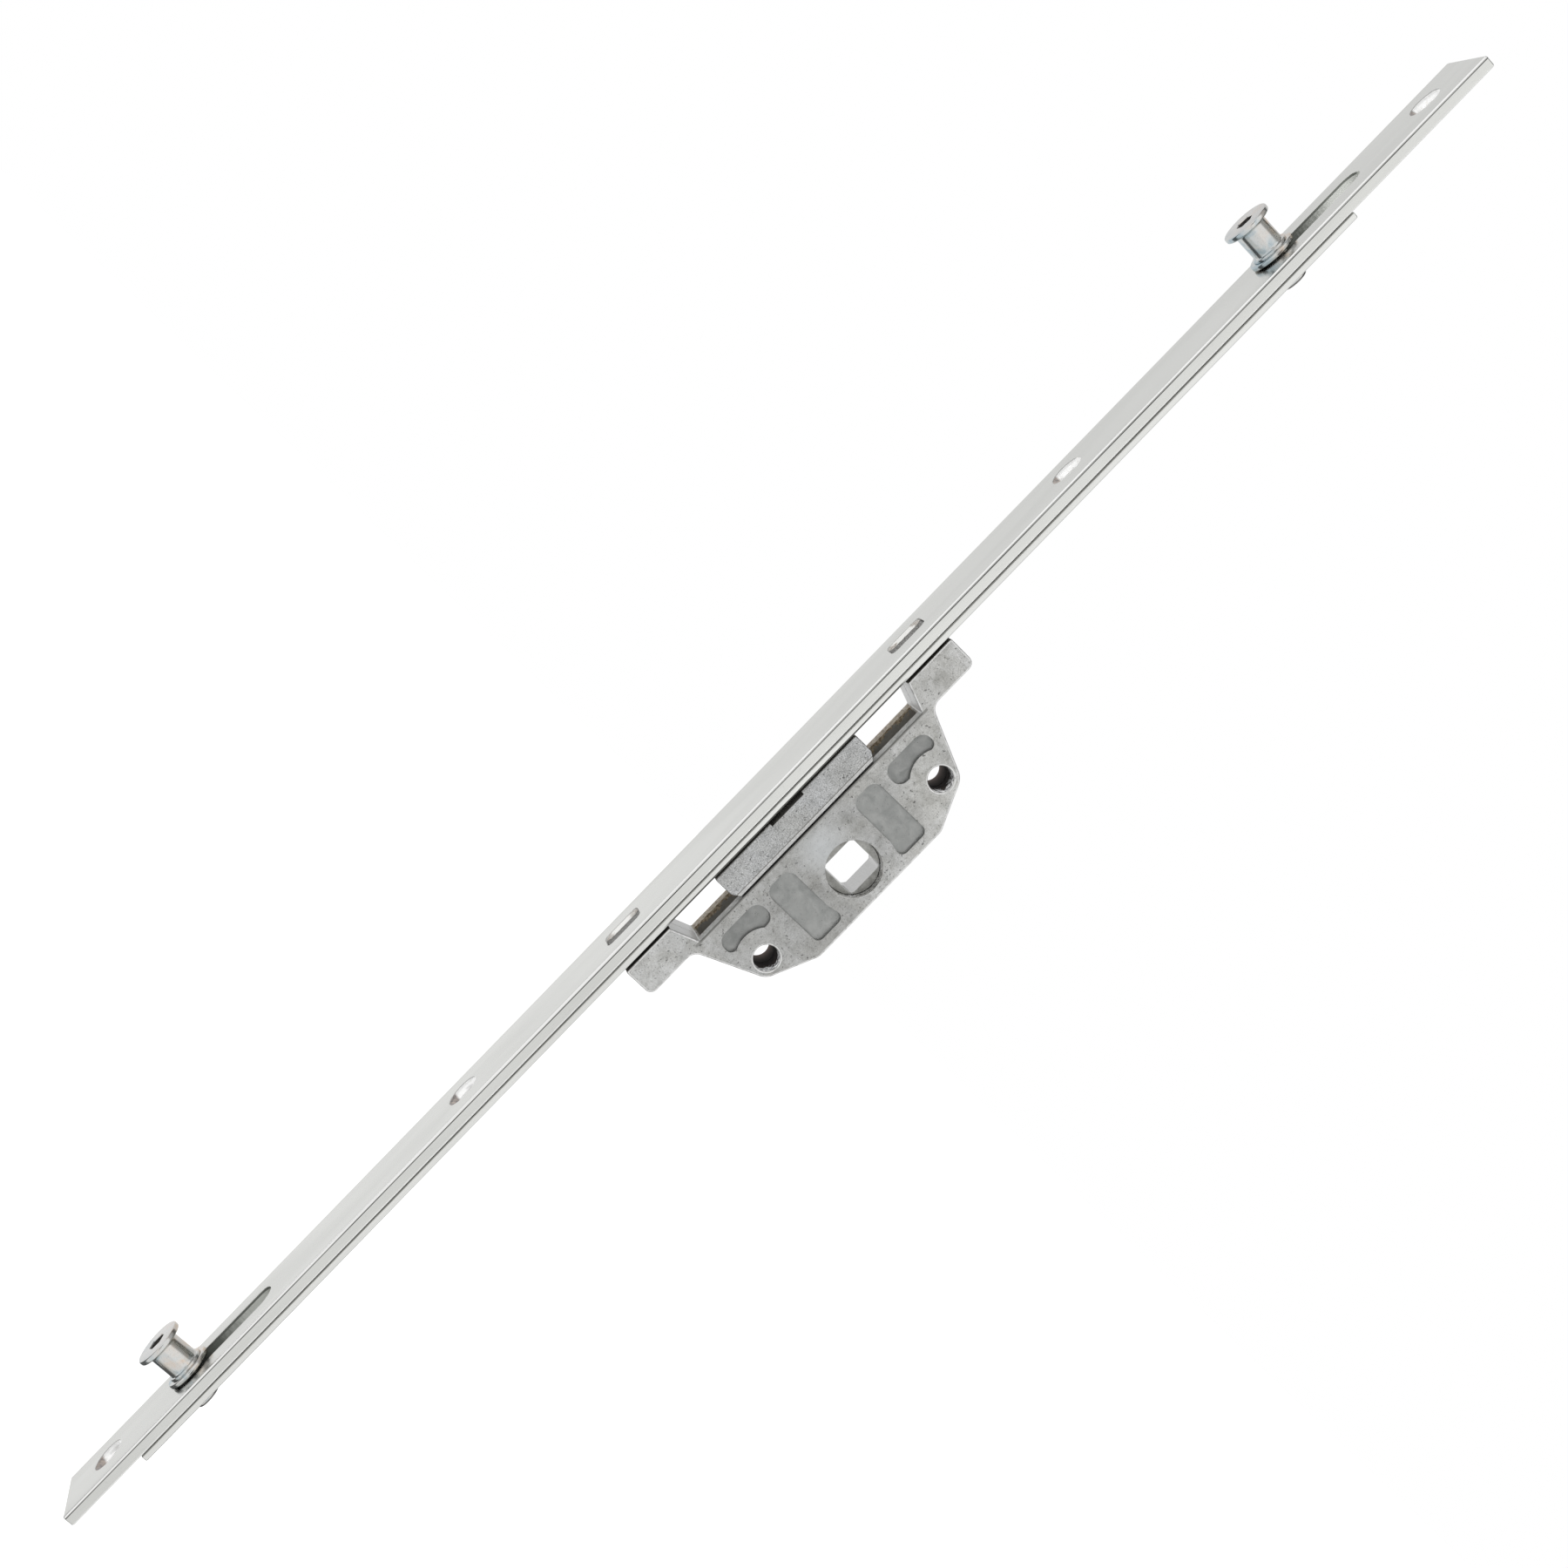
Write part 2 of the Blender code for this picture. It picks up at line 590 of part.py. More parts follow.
def corner_around(centre, radius, before, after):
    """Where two lines meet that touch a circle and go through the points before and after it."""
    lines = []
    for (u, h), side in ((before, -1), (after, 1)):
        across = math.asin(radius / math.dist(centre, (u, h)))
        lines.append(math.atan2(centre[1] - h, centre[0] - u) + side * across)
    first, second = lines
    gap_u = after[0] - before[0]
    gap_h = after[1] - before[1]
    along = (gap_u * math.sin(second) - gap_h * math.cos(second)) / math.sin(second - first)
    return (before[0] + along * math.cos(first), before[1] + along * math.sin(first), radius)


def case_outline():
    """Side view of the case: two tabs, the window between them and the tapered gear box below."""
    foot = (BOTTOM_REACH, -CASE_BOTTOM)
    root = (TAB_ROOT_U, TAB_BOTTOM)
    screw_boss_r = HANDLE_SCREW_D / 2 + HANDLE_SCREW_WALL
    right = [(*foot, BOTTOM_CORNER_R),
             corner_around((HANDLE_SCREW_PITCH / 2, 0), screw_boss_r, foot, root),
             (*root, TAB_ROOT_R),
             (TAB_REACH, TAB_BOTTOM, TAB_CORNER_R),
             (TAB_REACH, TAB_TOP, SMALL_CORNER_R),
             (WINDOW_TOP_REACH, TAB_TOP, 0),
             (WINDOW_BOTTOM_REACH, CASE_TOP, SMALL_CORNER_R)]
    left = [(-u, h, radius) for u, h, radius in reversed(right)]
    return rounded(right + left)


def cavity_outline():
    """Rack channel under the window and the round pit of the gear, in one outline."""
    channel = WINDOW_BOTTOM_REACH - SMALL_CORNER_R
    channel_floor = RACK_TIP - SIDE_GAP
    pit = GEAR_TIP + SIDE_GAP
    right_pit = arc((0, 0), pit, math.asin(channel_floor / pit), -SECTOR_FOOT, 13)
    foot = arc((0, 0), BACK_RADIUS + SIDE_GAP, -SECTOR_FOOT, -math.pi / 2, 9)
    right = [(channel, CASE_TOP + CUT_EXTRA), (channel, channel_floor)] + right_pit + foot
    return right + mirrored(right[:-1])


def tall_recess_outline():
    return rounded([(TALL_OUTER, RECESS_TOP, TALL_TOP_R), (TALL_INNER, RECESS_TOP, TALL_TOP_R),
                    (TALL_INNER, TALL_FLARE_H, TALL_TOP_R), (TALL_INNER_FOOT, TALL_BOTTOM, TALL_BOTTOM_R),
                    (TALL_OUTER, TALL_BOTTOM, TALL_BOTTOM_R)])


def kidney_recess_outline():
    """Recess that bends around the handle-screw hole."""
    screw_u = HANDLE_SCREW_PITCH / 2
    inner = screw_u - KIDNEY_BEFORE_SCREW
    outer = screw_u + KIDNEY_PAST_SCREW
    rise = math.asin(KIDNEY_BOTTOM / KIDNEY_ROUND_R)
    lobe = math.pi - math.asin(KIDNEY_LOBE_H / KIDNEY_ROUND_R)
    bend = arc((-screw_u, 0), KIDNEY_ROUND_R, rise, lobe, 9)
    corners = ([(-outer, RECESS_TOP, KIDNEY_TOP_R), (-inner, RECESS_TOP, KIDNEY_TOP_R),
                (-inner, KIDNEY_BOTTOM, KIDNEY_INNER_R)]
               + [(u, h, 0) for u, h in bend] + [(-outer, KIDNEY_LOBE_H, KIDNEY_LOBE_R)])
    return rounded(corners)


def case_half(shop, zinc, name, face):
    """One half of the case; face is +1 for the handle side and -1 for the far side."""
    inner = PARTING_GAP / 2
    outer = CASE_WIDTH / 2
    turn = (0, 0, 0) if face > 0 else (0, math.pi, 0)
    half = shop.piece(name, prism(name, case_outline(), inner, outer), zinc, (0, 0, 0), turn)
    ease_edges(half, CASE_EDGE, 2, lambda a, b: min(a.z, b.z) > outer - WELD)
    cavity = prism("cavity", cavity_outline(), inner - CUT_EXTRA, SLOT_HALF)
    combine(half, shop.cutter(name + "_cavity_cut", cavity, (0, 0, 0), turn))
    bearing = round_bar("bearing", 0, outer + CUT_EXTRA, HUB_D / 2 + FLAT_GAP / 2, HUB_D / 2 + FLAT_GAP / 2)
    combine(half, shop.cutter(name + "_bearing_cut", bearing, (0, 0, 0), turn))
    for side in (-1, 1):
        screw_r = HANDLE_SCREW_D / 2
        mouth = outer - HANDLE_SCREW_LEAD
        profile = [(0, outer + CUT_EXTRA), (screw_r + HANDLE_SCREW_LEAD + CUT_EXTRA, outer + CUT_EXTRA),
                   (screw_r, mouth), (screw_r, -CUT_EXTRA), (0, -CUT_EXTRA)]
        screw = shop.cutter(name + "_screw_cut", profile_line("screw", profile),
                            (side * HANDLE_SCREW_PITCH / 2, 0, 0), turn)
        combine(half, turn_round(screw))
        tenon = prism("tenon", rectangle(TENON_LENGTH, TENON_WIDTH, TENON_CORNER_R),
                      TAB_TOP - SMALL_CORNER_R, BACKSET - TENON_SUNK)
        spot = (side * TENON_AT, 0, 0)
        tenon_bar = shop.cutter(name + "_tenon_join", tenon, spot, ALONG_H)
        far_half = block("far_half", (-TENON_LENGTH, 0, -TENON_WIDTH), (TENON_LENGTH, BACKSET, inner))
        combine(tenon_bar, shop.cutter(name + "_tenon_split", far_half, spot, turn))
        combine(half, tenon_bar, "UNION")
        for spot_u, spot_h in ((TENON_AT, DOWEL_TAB_H), (DOWEL_FOOT_U, DOWEL_FOOT_H)):
            spot = (side * spot_u, spot_h, 0)
            if face > 0:
                dowel = round_bar("dowel", -DOWEL_LENGTH, inner * 2, DOWEL_D / 2, DOWEL_D / 2, 24)
                combine(half, shop.cutter(name + "_dowel_join", dowel, spot), "UNION")
            else:
                hole_r = DOWEL_D / 2 + SIDE_GAP
                hole = round_bar("dowel_hole", -DOWEL_LENGTH - SIDE_GAP, CUT_EXTRA, hole_r, hole_r, 24)
                combine(half, shop.cutter(name + "_dowel_cut", hole, spot))
        tall = tall_recess_outline()
        kidney = kidney_recess_outline()
        if side * face < 0:
            tall = mirrored(tall)
        else:
            kidney = mirrored(kidney)
        for label, outline in (("_tall", tall), ("_kidney", kidney)):
            recess = prism(label, outline, outer - RECESS_DEPTH, outer + CUT_EXTRA)
            combine(half, shop.cutter(name + label + "_recess_cut", recess, (0, 0, 0), turn))
    shade_round(half)


def main():
    clear_scene()
    shop = Workshop()
    plated_steel = metal("plated_steel", (0.62, 0.63, 0.60), 0.35)
    rail_steel = metal("rail_steel", (0.60, 0.60, 0.58), 0.35)
    cam_steel = metal("cam_steel", (0.66, 0.65, 0.62), 0.22)
    gear_steel = metal("gear_steel", (0.50, 0.50, 0.49), 0.40)
    case_zinc = metal("case_zinc", (0.42, 0.43, 0.43), 0.50)
    shuttle_zinc = metal("shuttle_zinc", (0.46, 0.46, 0.45), 0.50)
    faceplate(shop, plated_steel)
    drive_rail(shop, rail_steel)
    cam(shop, cam_steel, "lower_cam", RAIL_REST - CAM_AT, CAM_LOWER_PHASE)
    cam(shop, cam_steel, "upper_cam", RAIL_REST + CAM_AT, CAM_UPPER_PHASE)
    shuttle(shop, shuttle_zinc)
    spindle_gear(shop, gear_steel)
    case_half(shop, case_zinc, "front_case", 1)
    case_half(shop, case_zinc, "rear_case", -1)


main()
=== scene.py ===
import math

import bmesh
import bpy
from mathutils import Matrix, Vector, noise


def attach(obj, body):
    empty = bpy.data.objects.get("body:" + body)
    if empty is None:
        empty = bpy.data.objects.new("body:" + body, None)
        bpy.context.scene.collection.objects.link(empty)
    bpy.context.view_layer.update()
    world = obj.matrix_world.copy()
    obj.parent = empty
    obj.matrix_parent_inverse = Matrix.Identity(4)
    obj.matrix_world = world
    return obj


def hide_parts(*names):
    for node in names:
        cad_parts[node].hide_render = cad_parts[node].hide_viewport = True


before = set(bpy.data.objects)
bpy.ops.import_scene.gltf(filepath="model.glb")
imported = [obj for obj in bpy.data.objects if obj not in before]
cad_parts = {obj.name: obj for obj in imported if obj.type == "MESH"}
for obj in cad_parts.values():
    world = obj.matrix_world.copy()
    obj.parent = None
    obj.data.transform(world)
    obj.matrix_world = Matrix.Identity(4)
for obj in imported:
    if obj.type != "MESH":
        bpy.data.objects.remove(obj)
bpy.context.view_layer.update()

# Measures of the part in millimetres. x runs back from the faceplate's front, y away from the
# camera and z along the part, with the spindle's axis at z = 0.
MM = 0.001
PLATE_BACK = 2.4
PLATE_SIDE = 8.0
PLATE_END = 173.0
RAIL_TOP = 2.9
RAIL_BACK = 4.25
CASE_TOP = 10.2
CASE_SIDE = 6.0
RECESS_FLOOR = 5.2  # of the recesses in the case's faces, across
WINDOW_TOP = 29.2  # end of the windows between case and rail, along
BACKSET = 20.8
SPINDLE_HALF = 3.525  # half the spindle's square
HUB_RADIUS = 4.95
HANDLE_SCREW_PITCH = 43.0
SCREW_BORE_RADIUS = 2.35
TENON_AT = 34.95
SLOT_AT = 134.2
SLOT_LENGTH = 24.1
SINK_MIDDLE = 118.6  # middle of the two faceplate screws of one half
SINK_STEP = 44.0  # from that middle to each of them
RAIL_REST = -8.9  # middle of the rail at rest, along
CAM_AT = 134.55  # from the rail's middle
CAM_TOP = 7.8

# Camera, from the photograph's perspective
CAMERA_LENS = 61.52
CAMERA_SENSOR = 36.0
CAMERA_SPOT = Vector((-0.1119, -0.4478, 0.00698))
CAMERA_ELEVATION = math.radians(14.38)
CAMERA_YAW = math.radians(0.63)
CAMERA_ROLL = math.radians(45.93)


def add_camera():
    sin_e, cos_e = math.sin(CAMERA_ELEVATION), math.cos(CAMERA_ELEVATION)
    sin_y, cos_y = math.sin(CAMERA_YAW), math.cos(CAMERA_YAW)
    level_right = Vector((0, sin_y, cos_y))
    level_down = Vector((cos_e, -cos_y * sin_e, sin_y * sin_e))
    ahead = Vector((sin_e, cos_y * cos_e, -sin_y * cos_e))
    right = math.cos(CAMERA_ROLL) * level_right + math.sin(CAMERA_ROLL) * level_down
    down = -math.sin(CAMERA_ROLL) * level_right + math.cos(CAMERA_ROLL) * level_down
    data = bpy.data.cameras.new("camera")
    data.lens = CAMERA_LENS
    data.sensor_width = CAMERA_SENSOR
    data.clip_start = 0.01
    data.clip_end = 10
    camera = bpy.data.objects.new("camera", data)
    bpy.context.scene.collection.objects.link(camera)
    turn = Matrix((right, -down, -ahead)).transposed().to_4x4()
    camera.matrix_world = Matrix.Translation(CAMERA_SPOT) @ turn
    bpy.context.scene.camera = camera


# Material building blocks

class Nodes:
    """Short names for the nodes of one material or world."""

    def __init__(self, owner):
        self.owner = owner
        owner.use_nodes = True
        self.tree = owner.node_tree

    def new(self, kind, **values):
        node = self.tree.nodes.new(kind)
        for key, value in values.items():
            setattr(node, key, value)
        return node

    def link(self, start, end):
        self.tree.links.new(start, end)

    def feed(self, socket, value):
        if isinstance(value, bpy.types.NodeSocket):
            self.link(value, socket)
        elif isinstance(value, tuple) and socket.type == "RGBA":
            socket.default_value = (*value, 1)
        else:
            socket.default_value = value

    def math(self, operation, first, second=0.0):
        node = self.new("ShaderNodeMath", operation=operation)
        self.feed(node.inputs[0], first)
        self.feed(node.inputs[1], second)
        return node.outputs[0]

    def add(self, first, second):
        return self.math("ADD", first, second)

    def minus(self, first, second):
        return self.math("SUBTRACT", first, second)

    def size(self, value):
        return self.math("ABSOLUTE", value)

    def larger(self, first, second):
        return self.math("MAXIMUM", first, second)

    def vector(self, operation, first, second=(0, 0, 0)):
        node = self.new("ShaderNodeVectorMath", operation=operation)
        self.feed(node.inputs[0], first)
        self.feed(node.inputs[1], second)
        return node.outputs["Value" if operation in ("DOT_PRODUCT", "DISTANCE") else "Vector"]

    def split(self, point):
        node = self.new("ShaderNodeSeparateXYZ")
        self.link(point, node.inputs[0])
        return node.outputs[0], node.outputs[1], node.outputs[2]

    def object_point(self, stretch=(1, 1, 1)):
        """Object coordinates in millimetres, stretched along the axes."""
        coords = self.new("ShaderNodeTexCoord").outputs["Object"]
        return self.vector("MULTIPLY", coords, tuple(1000 * value for value in stretch))

    def noise(self, point, scale, detail=4.0, roughness=0.5, distortion=0.0):
        node = self.new("ShaderNodeTexNoise")
        node.inputs["Scale"].default_value = scale
        node.inputs["Detail"].default_value = detail
        node.inputs["Roughness"].default_value = roughness
        node.inputs["Distortion"].default_value = distortion
        self.link(point, node.inputs["Vector"])
        return node.outputs["Fac"]

    def ramp(self, value, *stops):
        node = self.new("ShaderNodeValToRGB")
        elements = node.color_ramp.elements
        while len(elements) < len(stops):
            elements.new(0.5)
        for element, (place, colour) in zip(elements, stops):
            element.position = place
            element.color = (*colour, 1)
        self.link(value, node.inputs["Fac"])
        return node.outputs["Color"]

    def spread(self, value, low_in, high_in, low, high):
        """Low up to low_in, high from high_in, and straight between."""
        node = self.new("ShaderNodeMapRange")
        for socket, number in zip(node.inputs[1:5], (low_in, high_in, low, high)):
            socket.default_value = number
        self.link(value, node.inputs["Value"])
        return node.outputs["Result"]

    def above(self, value, low, high, most=1.0):
        """Zero up to low, rising to most at high."""
        return self.spread(value, low, high, 0.0, most)

    def below(self, value, low, high, most=1.0):
        """Most up to low, falling to zero at high."""
        return self.spread(value, low, high, most, 0.0)

    def between(self, value, low, high, soft):
        """One from low to high, fading to zero over the soft distance outside."""
        rise = self.above(value, low - soft, low)
        return self.math("MULTIPLY", rise, self.below(value, high, high + soft))

    def wander(self, value, texture, reach):
        """Value shifted by a noise, up to the reach either way."""
        return self.add(value, self.spread(texture, 0.3, 0.7, -reach, reach))

    def both(self, *masks):
        whole = masks[0]
        for mask in masks[1:]:
            whole = self.math("MULTIPLY", whole, mask)
        return whole

    def mix(self, factor, first, second, blend="MIX"):
        node = self.new("ShaderNodeMix", data_type="RGBA", blend_type=blend)
        self.feed(node.inputs["Factor"], factor)
        self.feed(node.inputs[6], first)
        self.feed(node.inputs[7], second)
        return node.outputs[2]

    def dim(self, factor, colour, shade):
        """Colour multiplied by a shade."""
        return self.mix(factor, colour, shade, "MULTIPLY")

    def blend(self, factor, first, second):
        node = self.new("ShaderNodeMix", data_type="FLOAT")
        self.feed(node.inputs["Factor"], factor)
        self.feed(node.inputs[2], first)
        self.feed(node.inputs[3], second)
        return node.outputs[0]

    def bump(self, height, strength, distance, normal=None):
        node = self.new("ShaderNodeBump")
        self.feed(node.inputs["Strength"], strength)
        node.inputs["Distance"].default_value = distance
        self.link(height, node.inputs["Height"])
        if normal is not None:
            self.link(normal, node.inputs["Normal"])
        return node.outputs["Normal"]

    def finish(self, colour, metallic, roughness, normal):
        shader = self.tree.nodes["Principled BSDF"]
        self.feed(shader.inputs["Base Color"], colour)
        self.feed(shader.inputs["Metallic"], metallic)
        self.feed(shader.inputs["Roughness"], roughness)
        self.link(normal, shader.inputs["Normal"])
        return self.owner


class Place:
    """Where a shaded point is, in millimetres from the part's front and middle planes."""

    def __init__(self, nodes):
        self.point = nodes.object_point()
        self.down, self.side, self.along = nodes.split(self.point)
        self.off_side = nodes.size(self.side)
        self.off_middle = nodes.size(self.along)
        self.flat = nodes.vector("MULTIPLY", self.point, (1, 0, 1))


def grey(value):
    return (value, value, value)


# Faceplate and rail

def plating(nodes, dark, light, roughness):
    """Colour, roughness and normal of zinc-plated strip with a faint rolled grain and clouds."""
    grain = nodes.noise(nodes.object_point((1.6, 1.6, 0.02)), 2.2, 4, 0.6)
    cloud = nodes.noise(nodes.object_point((0.12, 0.12, 0.02)), 1.0, 3, 0.5, 0.5)
    speck = nodes.noise(nodes.object_point((0.9, 0.9, 0.6)), 2.4, 5, 0.68)
    colour = nodes.ramp(cloud, (0.32, dark), (0.68, light))
    colour = nodes.dim(0.4, colour, nodes.ramp(grain, (0.32, grey(0.90)), (0.66, grey(1.0))))
    colour = nodes.dim(0.3, colour, nodes.ramp(speck, (0.30, grey(0.80)), (0.42, grey(1.0))))
    rough = nodes.spread(grain, 0.2, 0.8, roughness - 0.03, roughness + 0.05)
    fine = nodes.noise(nodes.object_point((1.2, 1.2, 0.12)), 2.0, 3, 0.5)
    return colour, rough, nodes.bump(fine, 0.03, 0.00002)


def plate_edges(nodes, place, colour):
    """Painted highlight on the front edge, a painted dark line of shade under it and painted light
    on the lip at the back; also the lip's mask.
    """
    edge_noise = nodes.noise(nodes.object_point((0.5, 0.5, 0.05)), 1.0, 3, 0.5)
    # Painted highlight: the rounded front edge is painted near white, as if it mirrored a bright
    # light
    edge = nodes.both(nodes.below(place.down, 0.34, 0.40),
                      nodes.above(place.off_side, PLATE_SIDE - 0.42, PLATE_SIDE - 0.34),
                      nodes.spread(edge_noise, 0.3, 0.6, 0.75, 1.0))
    colour = nodes.mix(edge, colour, (0.97, 0.97, 0.96))
    # Painted shade: a dark line on the side face just under the painted highlight
    painted_dark_line = nodes.both(nodes.between(place.down, 0.43, 0.57, 0.04),
                      nodes.above(place.off_side, PLATE_SIDE - 0.2, PLATE_SIDE - 0.1),
                      nodes.spread(edge_noise, 0.35, 0.65, 1.0, 0.7))
    colour = nodes.mix(painted_dark_line, colour, (0.05, 0.05, 0.046))
    # Painted light: the rounded back lip is painted pale and kept from mirroring its dark
    # surroundings
    lit_lip = nodes.both(nodes.above(place.down, PLATE_BACK - 0.34, PLATE_BACK - 0.26),
                     nodes.above(place.off_side, PLATE_SIDE - 0.5, PLATE_SIDE - 0.44))
    return nodes.mix(lit_lip, colour, (0.90, 0.90, 0.88)), lit_lip


def punched_walls(nodes, place, drag, long_slot):
    """Colour of the walls of the faceplate's holes: painted bright as a reflection of the white
    studio, with brown dirt in the countersinks and painted shade in the cam slots.
    """
    # Painted reflection: the walls are painted near white, as if they mirrored the white studio
    painted_bright_walls = nodes.ramp(drag, (0.28, (0.86, 0.85, 0.82)), (0.44, (0.96, 0.96, 0.955)),
                      (0.7, (0.99, 0.99, 0.98)))
    # Each countersink keeps a brown wedge of dirt at its lower end
    upper = nodes.math("SIGN", place.along)
    step = nodes.minus(place.off_middle, SINK_MIDDLE)
    sign = nodes.math("MULTIPLY", upper, nodes.math("SIGN", step))
    past = nodes.minus(nodes.size(step), SINK_STEP)
    from_sink = nodes.math("MULTIPLY", sign, past)
    wedge = nodes.both(nodes.between(past, -3.4, 3.4, 0.1), nodes.below(from_sink, -1.9, -1.5))
    dirt = nodes.ramp(drag, (0.35, (0.20, 0.19, 0.19)), (0.6, (0.42, 0.36, 0.32)))
    painted_bright_walls = nodes.mix(wedge, painted_bright_walls, dirt)
    # Each cam slot's walls are painted dark as shade at its lower end, where the cam stands at
    # rest, lightening towards the far end
    slot_middle = nodes.math("MULTIPLY", upper, SLOT_AT)
    from_end = nodes.add(nodes.minus(place.along, slot_middle), SLOT_LENGTH / 2)
    from_end = nodes.wander(from_end, drag, 1.5)
    shade_near_cam = nodes.mix(nodes.above(from_end, 10.0, 17.0), (0.26, 0.275, 0.25), (0.76, 0.775, 0.74))
    # Painted shade: a dark line along the top of the slot's far wall
    far_edge_shade = nodes.both(nodes.between(place.down, 0.1, 0.45, 0.05),
                          nodes.above(place.side, 0.5, 1.0))
    shade_near_cam = nodes.mix(far_edge_shade, shade_near_cam, (0.22, 0.23, 0.21))
    return nodes.mix(long_slot, painted_bright_walls, shade_near_cam)


def faceplate_material():
    """Plated strip with painted highlights and painted shade along its edges, punched walls painted
    bright as a reflection, and painted shade in the cam slots.
    """
    nodes = Nodes(bpy.data.materials.new("faceplate_plating"))
    colour, rough, normal = plating(nodes, (0.69, 0.695, 0.67), (0.765, 0.77, 0.745), 0.19)
    place = Place(nodes)
    colour, lit_lip = plate_edges(nodes, place, colour)
    walls = nodes.both(nodes.between(place.down, 0.12, PLATE_BACK - 0.12, 0.05),
                       nodes.below(place.off_side, PLATE_SIDE - 0.7, PLATE_SIDE - 0.6),
                       nodes.below(place.off_middle, PLATE_END - 1.0, PLATE_END - 0.7))
    drag = nodes.noise(nodes.object_point((0.3, 1.4, 1.4)), 1.4, 3, 0.5)
    long_slot = nodes.between(place.off_middle, SLOT_AT - 13.2, SLOT_AT + 13.3, 0.2)
    colour = nodes.mix(walls, colour, punched_walls(nodes, place, drag, long_slot))
    rough = nodes.blend(walls, rough, nodes.spread(drag, 0.3, 0.7, 0.26, 0.2))
    slot_walls = nodes.both(walls, long_slot)
    rough = nodes.blend(nodes.larger(lit_lip, slot_walls), rough, 0.55)
    metal = nodes.blend(walls, nodes.blend(lit_lip, 1.0, 0.1), nodes.blend(slot_walls, 0.35, 0.6))
    return nodes.finish(colour, metal, rough, normal)


def rail_material():
    """Plated strip with painted shade on its top face, darkest round the cams, and painted dark
    lines of shade along its edges.
    """
    nodes = Nodes(bpy.data.materials.new("rail_plating"))
    colour, rough, normal = plating(nodes, (0.77, 0.775, 0.75), (0.86, 0.865, 0.84), 0.22)
    place = Place(nodes)
    drift = nodes.noise(nodes.object_point((1, 1, 0.15)), 1.2, 3)
    edge = nodes.wander(place.down, drift, 0.03)
    # Painted shade: the rail's top edge under the faceplate's overhang is painted dark
    top_edge_shade = nodes.below(edge, RAIL_TOP + 0.23, RAIL_TOP + 0.30)
    colour = nodes.mix(top_edge_shade, colour, (0.42, 0.42, 0.40))
    # Painted shade: the top face, hidden under the faceplate, is painted darker and darkest round
    # the cams
    top = nodes.below(place.down, RAIL_TOP + 0.02, RAIL_TOP + 0.05)
    shade_mottle = nodes.noise(nodes.object_point((1, 1, 0.3)), 0.8, 4, 0.6)
    from_cam = nodes.minus(nodes.size(nodes.minus(place.along, RAIL_REST)), CAM_AT)
    reach = nodes.wander(nodes.size(from_cam), shade_mottle, 2.0)
    shade_near_cam = nodes.ramp(shade_mottle, (0.3, (0.15, 0.16, 0.14)), (0.7, (0.26, 0.27, 0.245)))
    shade_near_cam = nodes.mix(nodes.above(reach, 6.0, 14.0), shade_near_cam, (0.60, 0.615, 0.58))
    colour = nodes.mix(top, colour, shade_near_cam)
    # Painted shade: a darker line along the back edge's rounding
    back = nodes.above(edge, RAIL_BACK - 0.23, RAIL_BACK - 0.09, 0.4)
    colour = nodes.mix(back, colour, grey(0.6))
    # Painted shade: the back of the rail over the case is painted near black, as the gap there is
    shade_over_case = nodes.both(nodes.between(edge, RAIL_BACK - 0.35, RAIL_BACK - 0.13, 0.04),
                           nodes.below(place.off_middle, WINDOW_TOP - 1.2, WINDOW_TOP + 0.8))
    colour = nodes.mix(shade_over_case, colour, (0.12, 0.12, 0.11))
    return nodes.finish(colour, 1.0, nodes.blend(top_edge_shade, rough, 0.38), normal)


def cam_material(name, centre, shift):
    """Bright passivated turned steel: fine rings, blue and straw clouds, painted shade at the rims
    and a socket painted black as shade.

    The centre of the head is given along and across the part.
    """
    nodes = Nodes(bpy.data.materials.new(name))
    place = Place(nodes)
    shifted = nodes.vector("ADD", place.point, (shift, 2.0 * shift, 0.0))
    cloud = nodes.noise(shifted, 0.42, 3, 0.5, 0.6)
    drift = nodes.spread(place.along, centre[0] - 3.0, centre[0] + 3.0, -0.16, 0.16)
    colour = nodes.ramp(nodes.add(cloud, drift),
                        (0.26, (0.44, 0.52, 0.56)), (0.42, (0.65, 0.67, 0.665)),
                        (0.58, (0.69, 0.67, 0.64)), (0.74, (0.70, 0.60, 0.51)))
    head = nodes.below(place.down, 0.04 - CAM_TOP, 0.10 - CAM_TOP, 0.65)
    colour = nodes.mix(head, colour, (0.68, 0.67, 0.66))
    fine = nodes.noise(place.point, 3.0, 4, 0.6)
    colour = nodes.dim(0.5, colour, nodes.ramp(fine, (0.28, grey(0.72)), (0.46, grey(1.0))))
    # Painted shade: dark bands on the rivet's lower rim and just under the flange
    rim_shade = nodes.larger(nodes.above(place.down, 5.22, 5.32),
                       nodes.between(place.down, -0.36, -0.1, 0.06))
    colour = nodes.mix(rim_shade, colour, (0.20, 0.195, 0.185))
    crosswise = nodes.vector("MULTIPLY", place.point, (0, 1, 1))
    from_axis = nodes.vector("DISTANCE", crosswise, (0.0, centre[1], centre[0]))
    # Painted shade: the hex socket is painted near black and kept from reflecting
    socket = nodes.both(nodes.below(from_axis, 1.78, 1.84),
                        nodes.above(place.down, 0.10 - CAM_TOP, 0.18 - CAM_TOP),
                        nodes.below(place.down, -3.6, -3.4))
    colour = nodes.mix(socket, colour, (0.035, 0.032, 0.03))
    rings = nodes.noise(nodes.object_point((6, 0.1, 0.1)), 1.6, 3, 0.5)
    rough = nodes.blend(socket, nodes.spread(rings, 0.3, 0.7, 0.13, 0.2), 0.75)
    metal = nodes.blend(socket, 1.0, 0.2)
    return nodes.finish(colour, metal, rough, nodes.bump(rings, 0.05, 0.00002))


# Castings

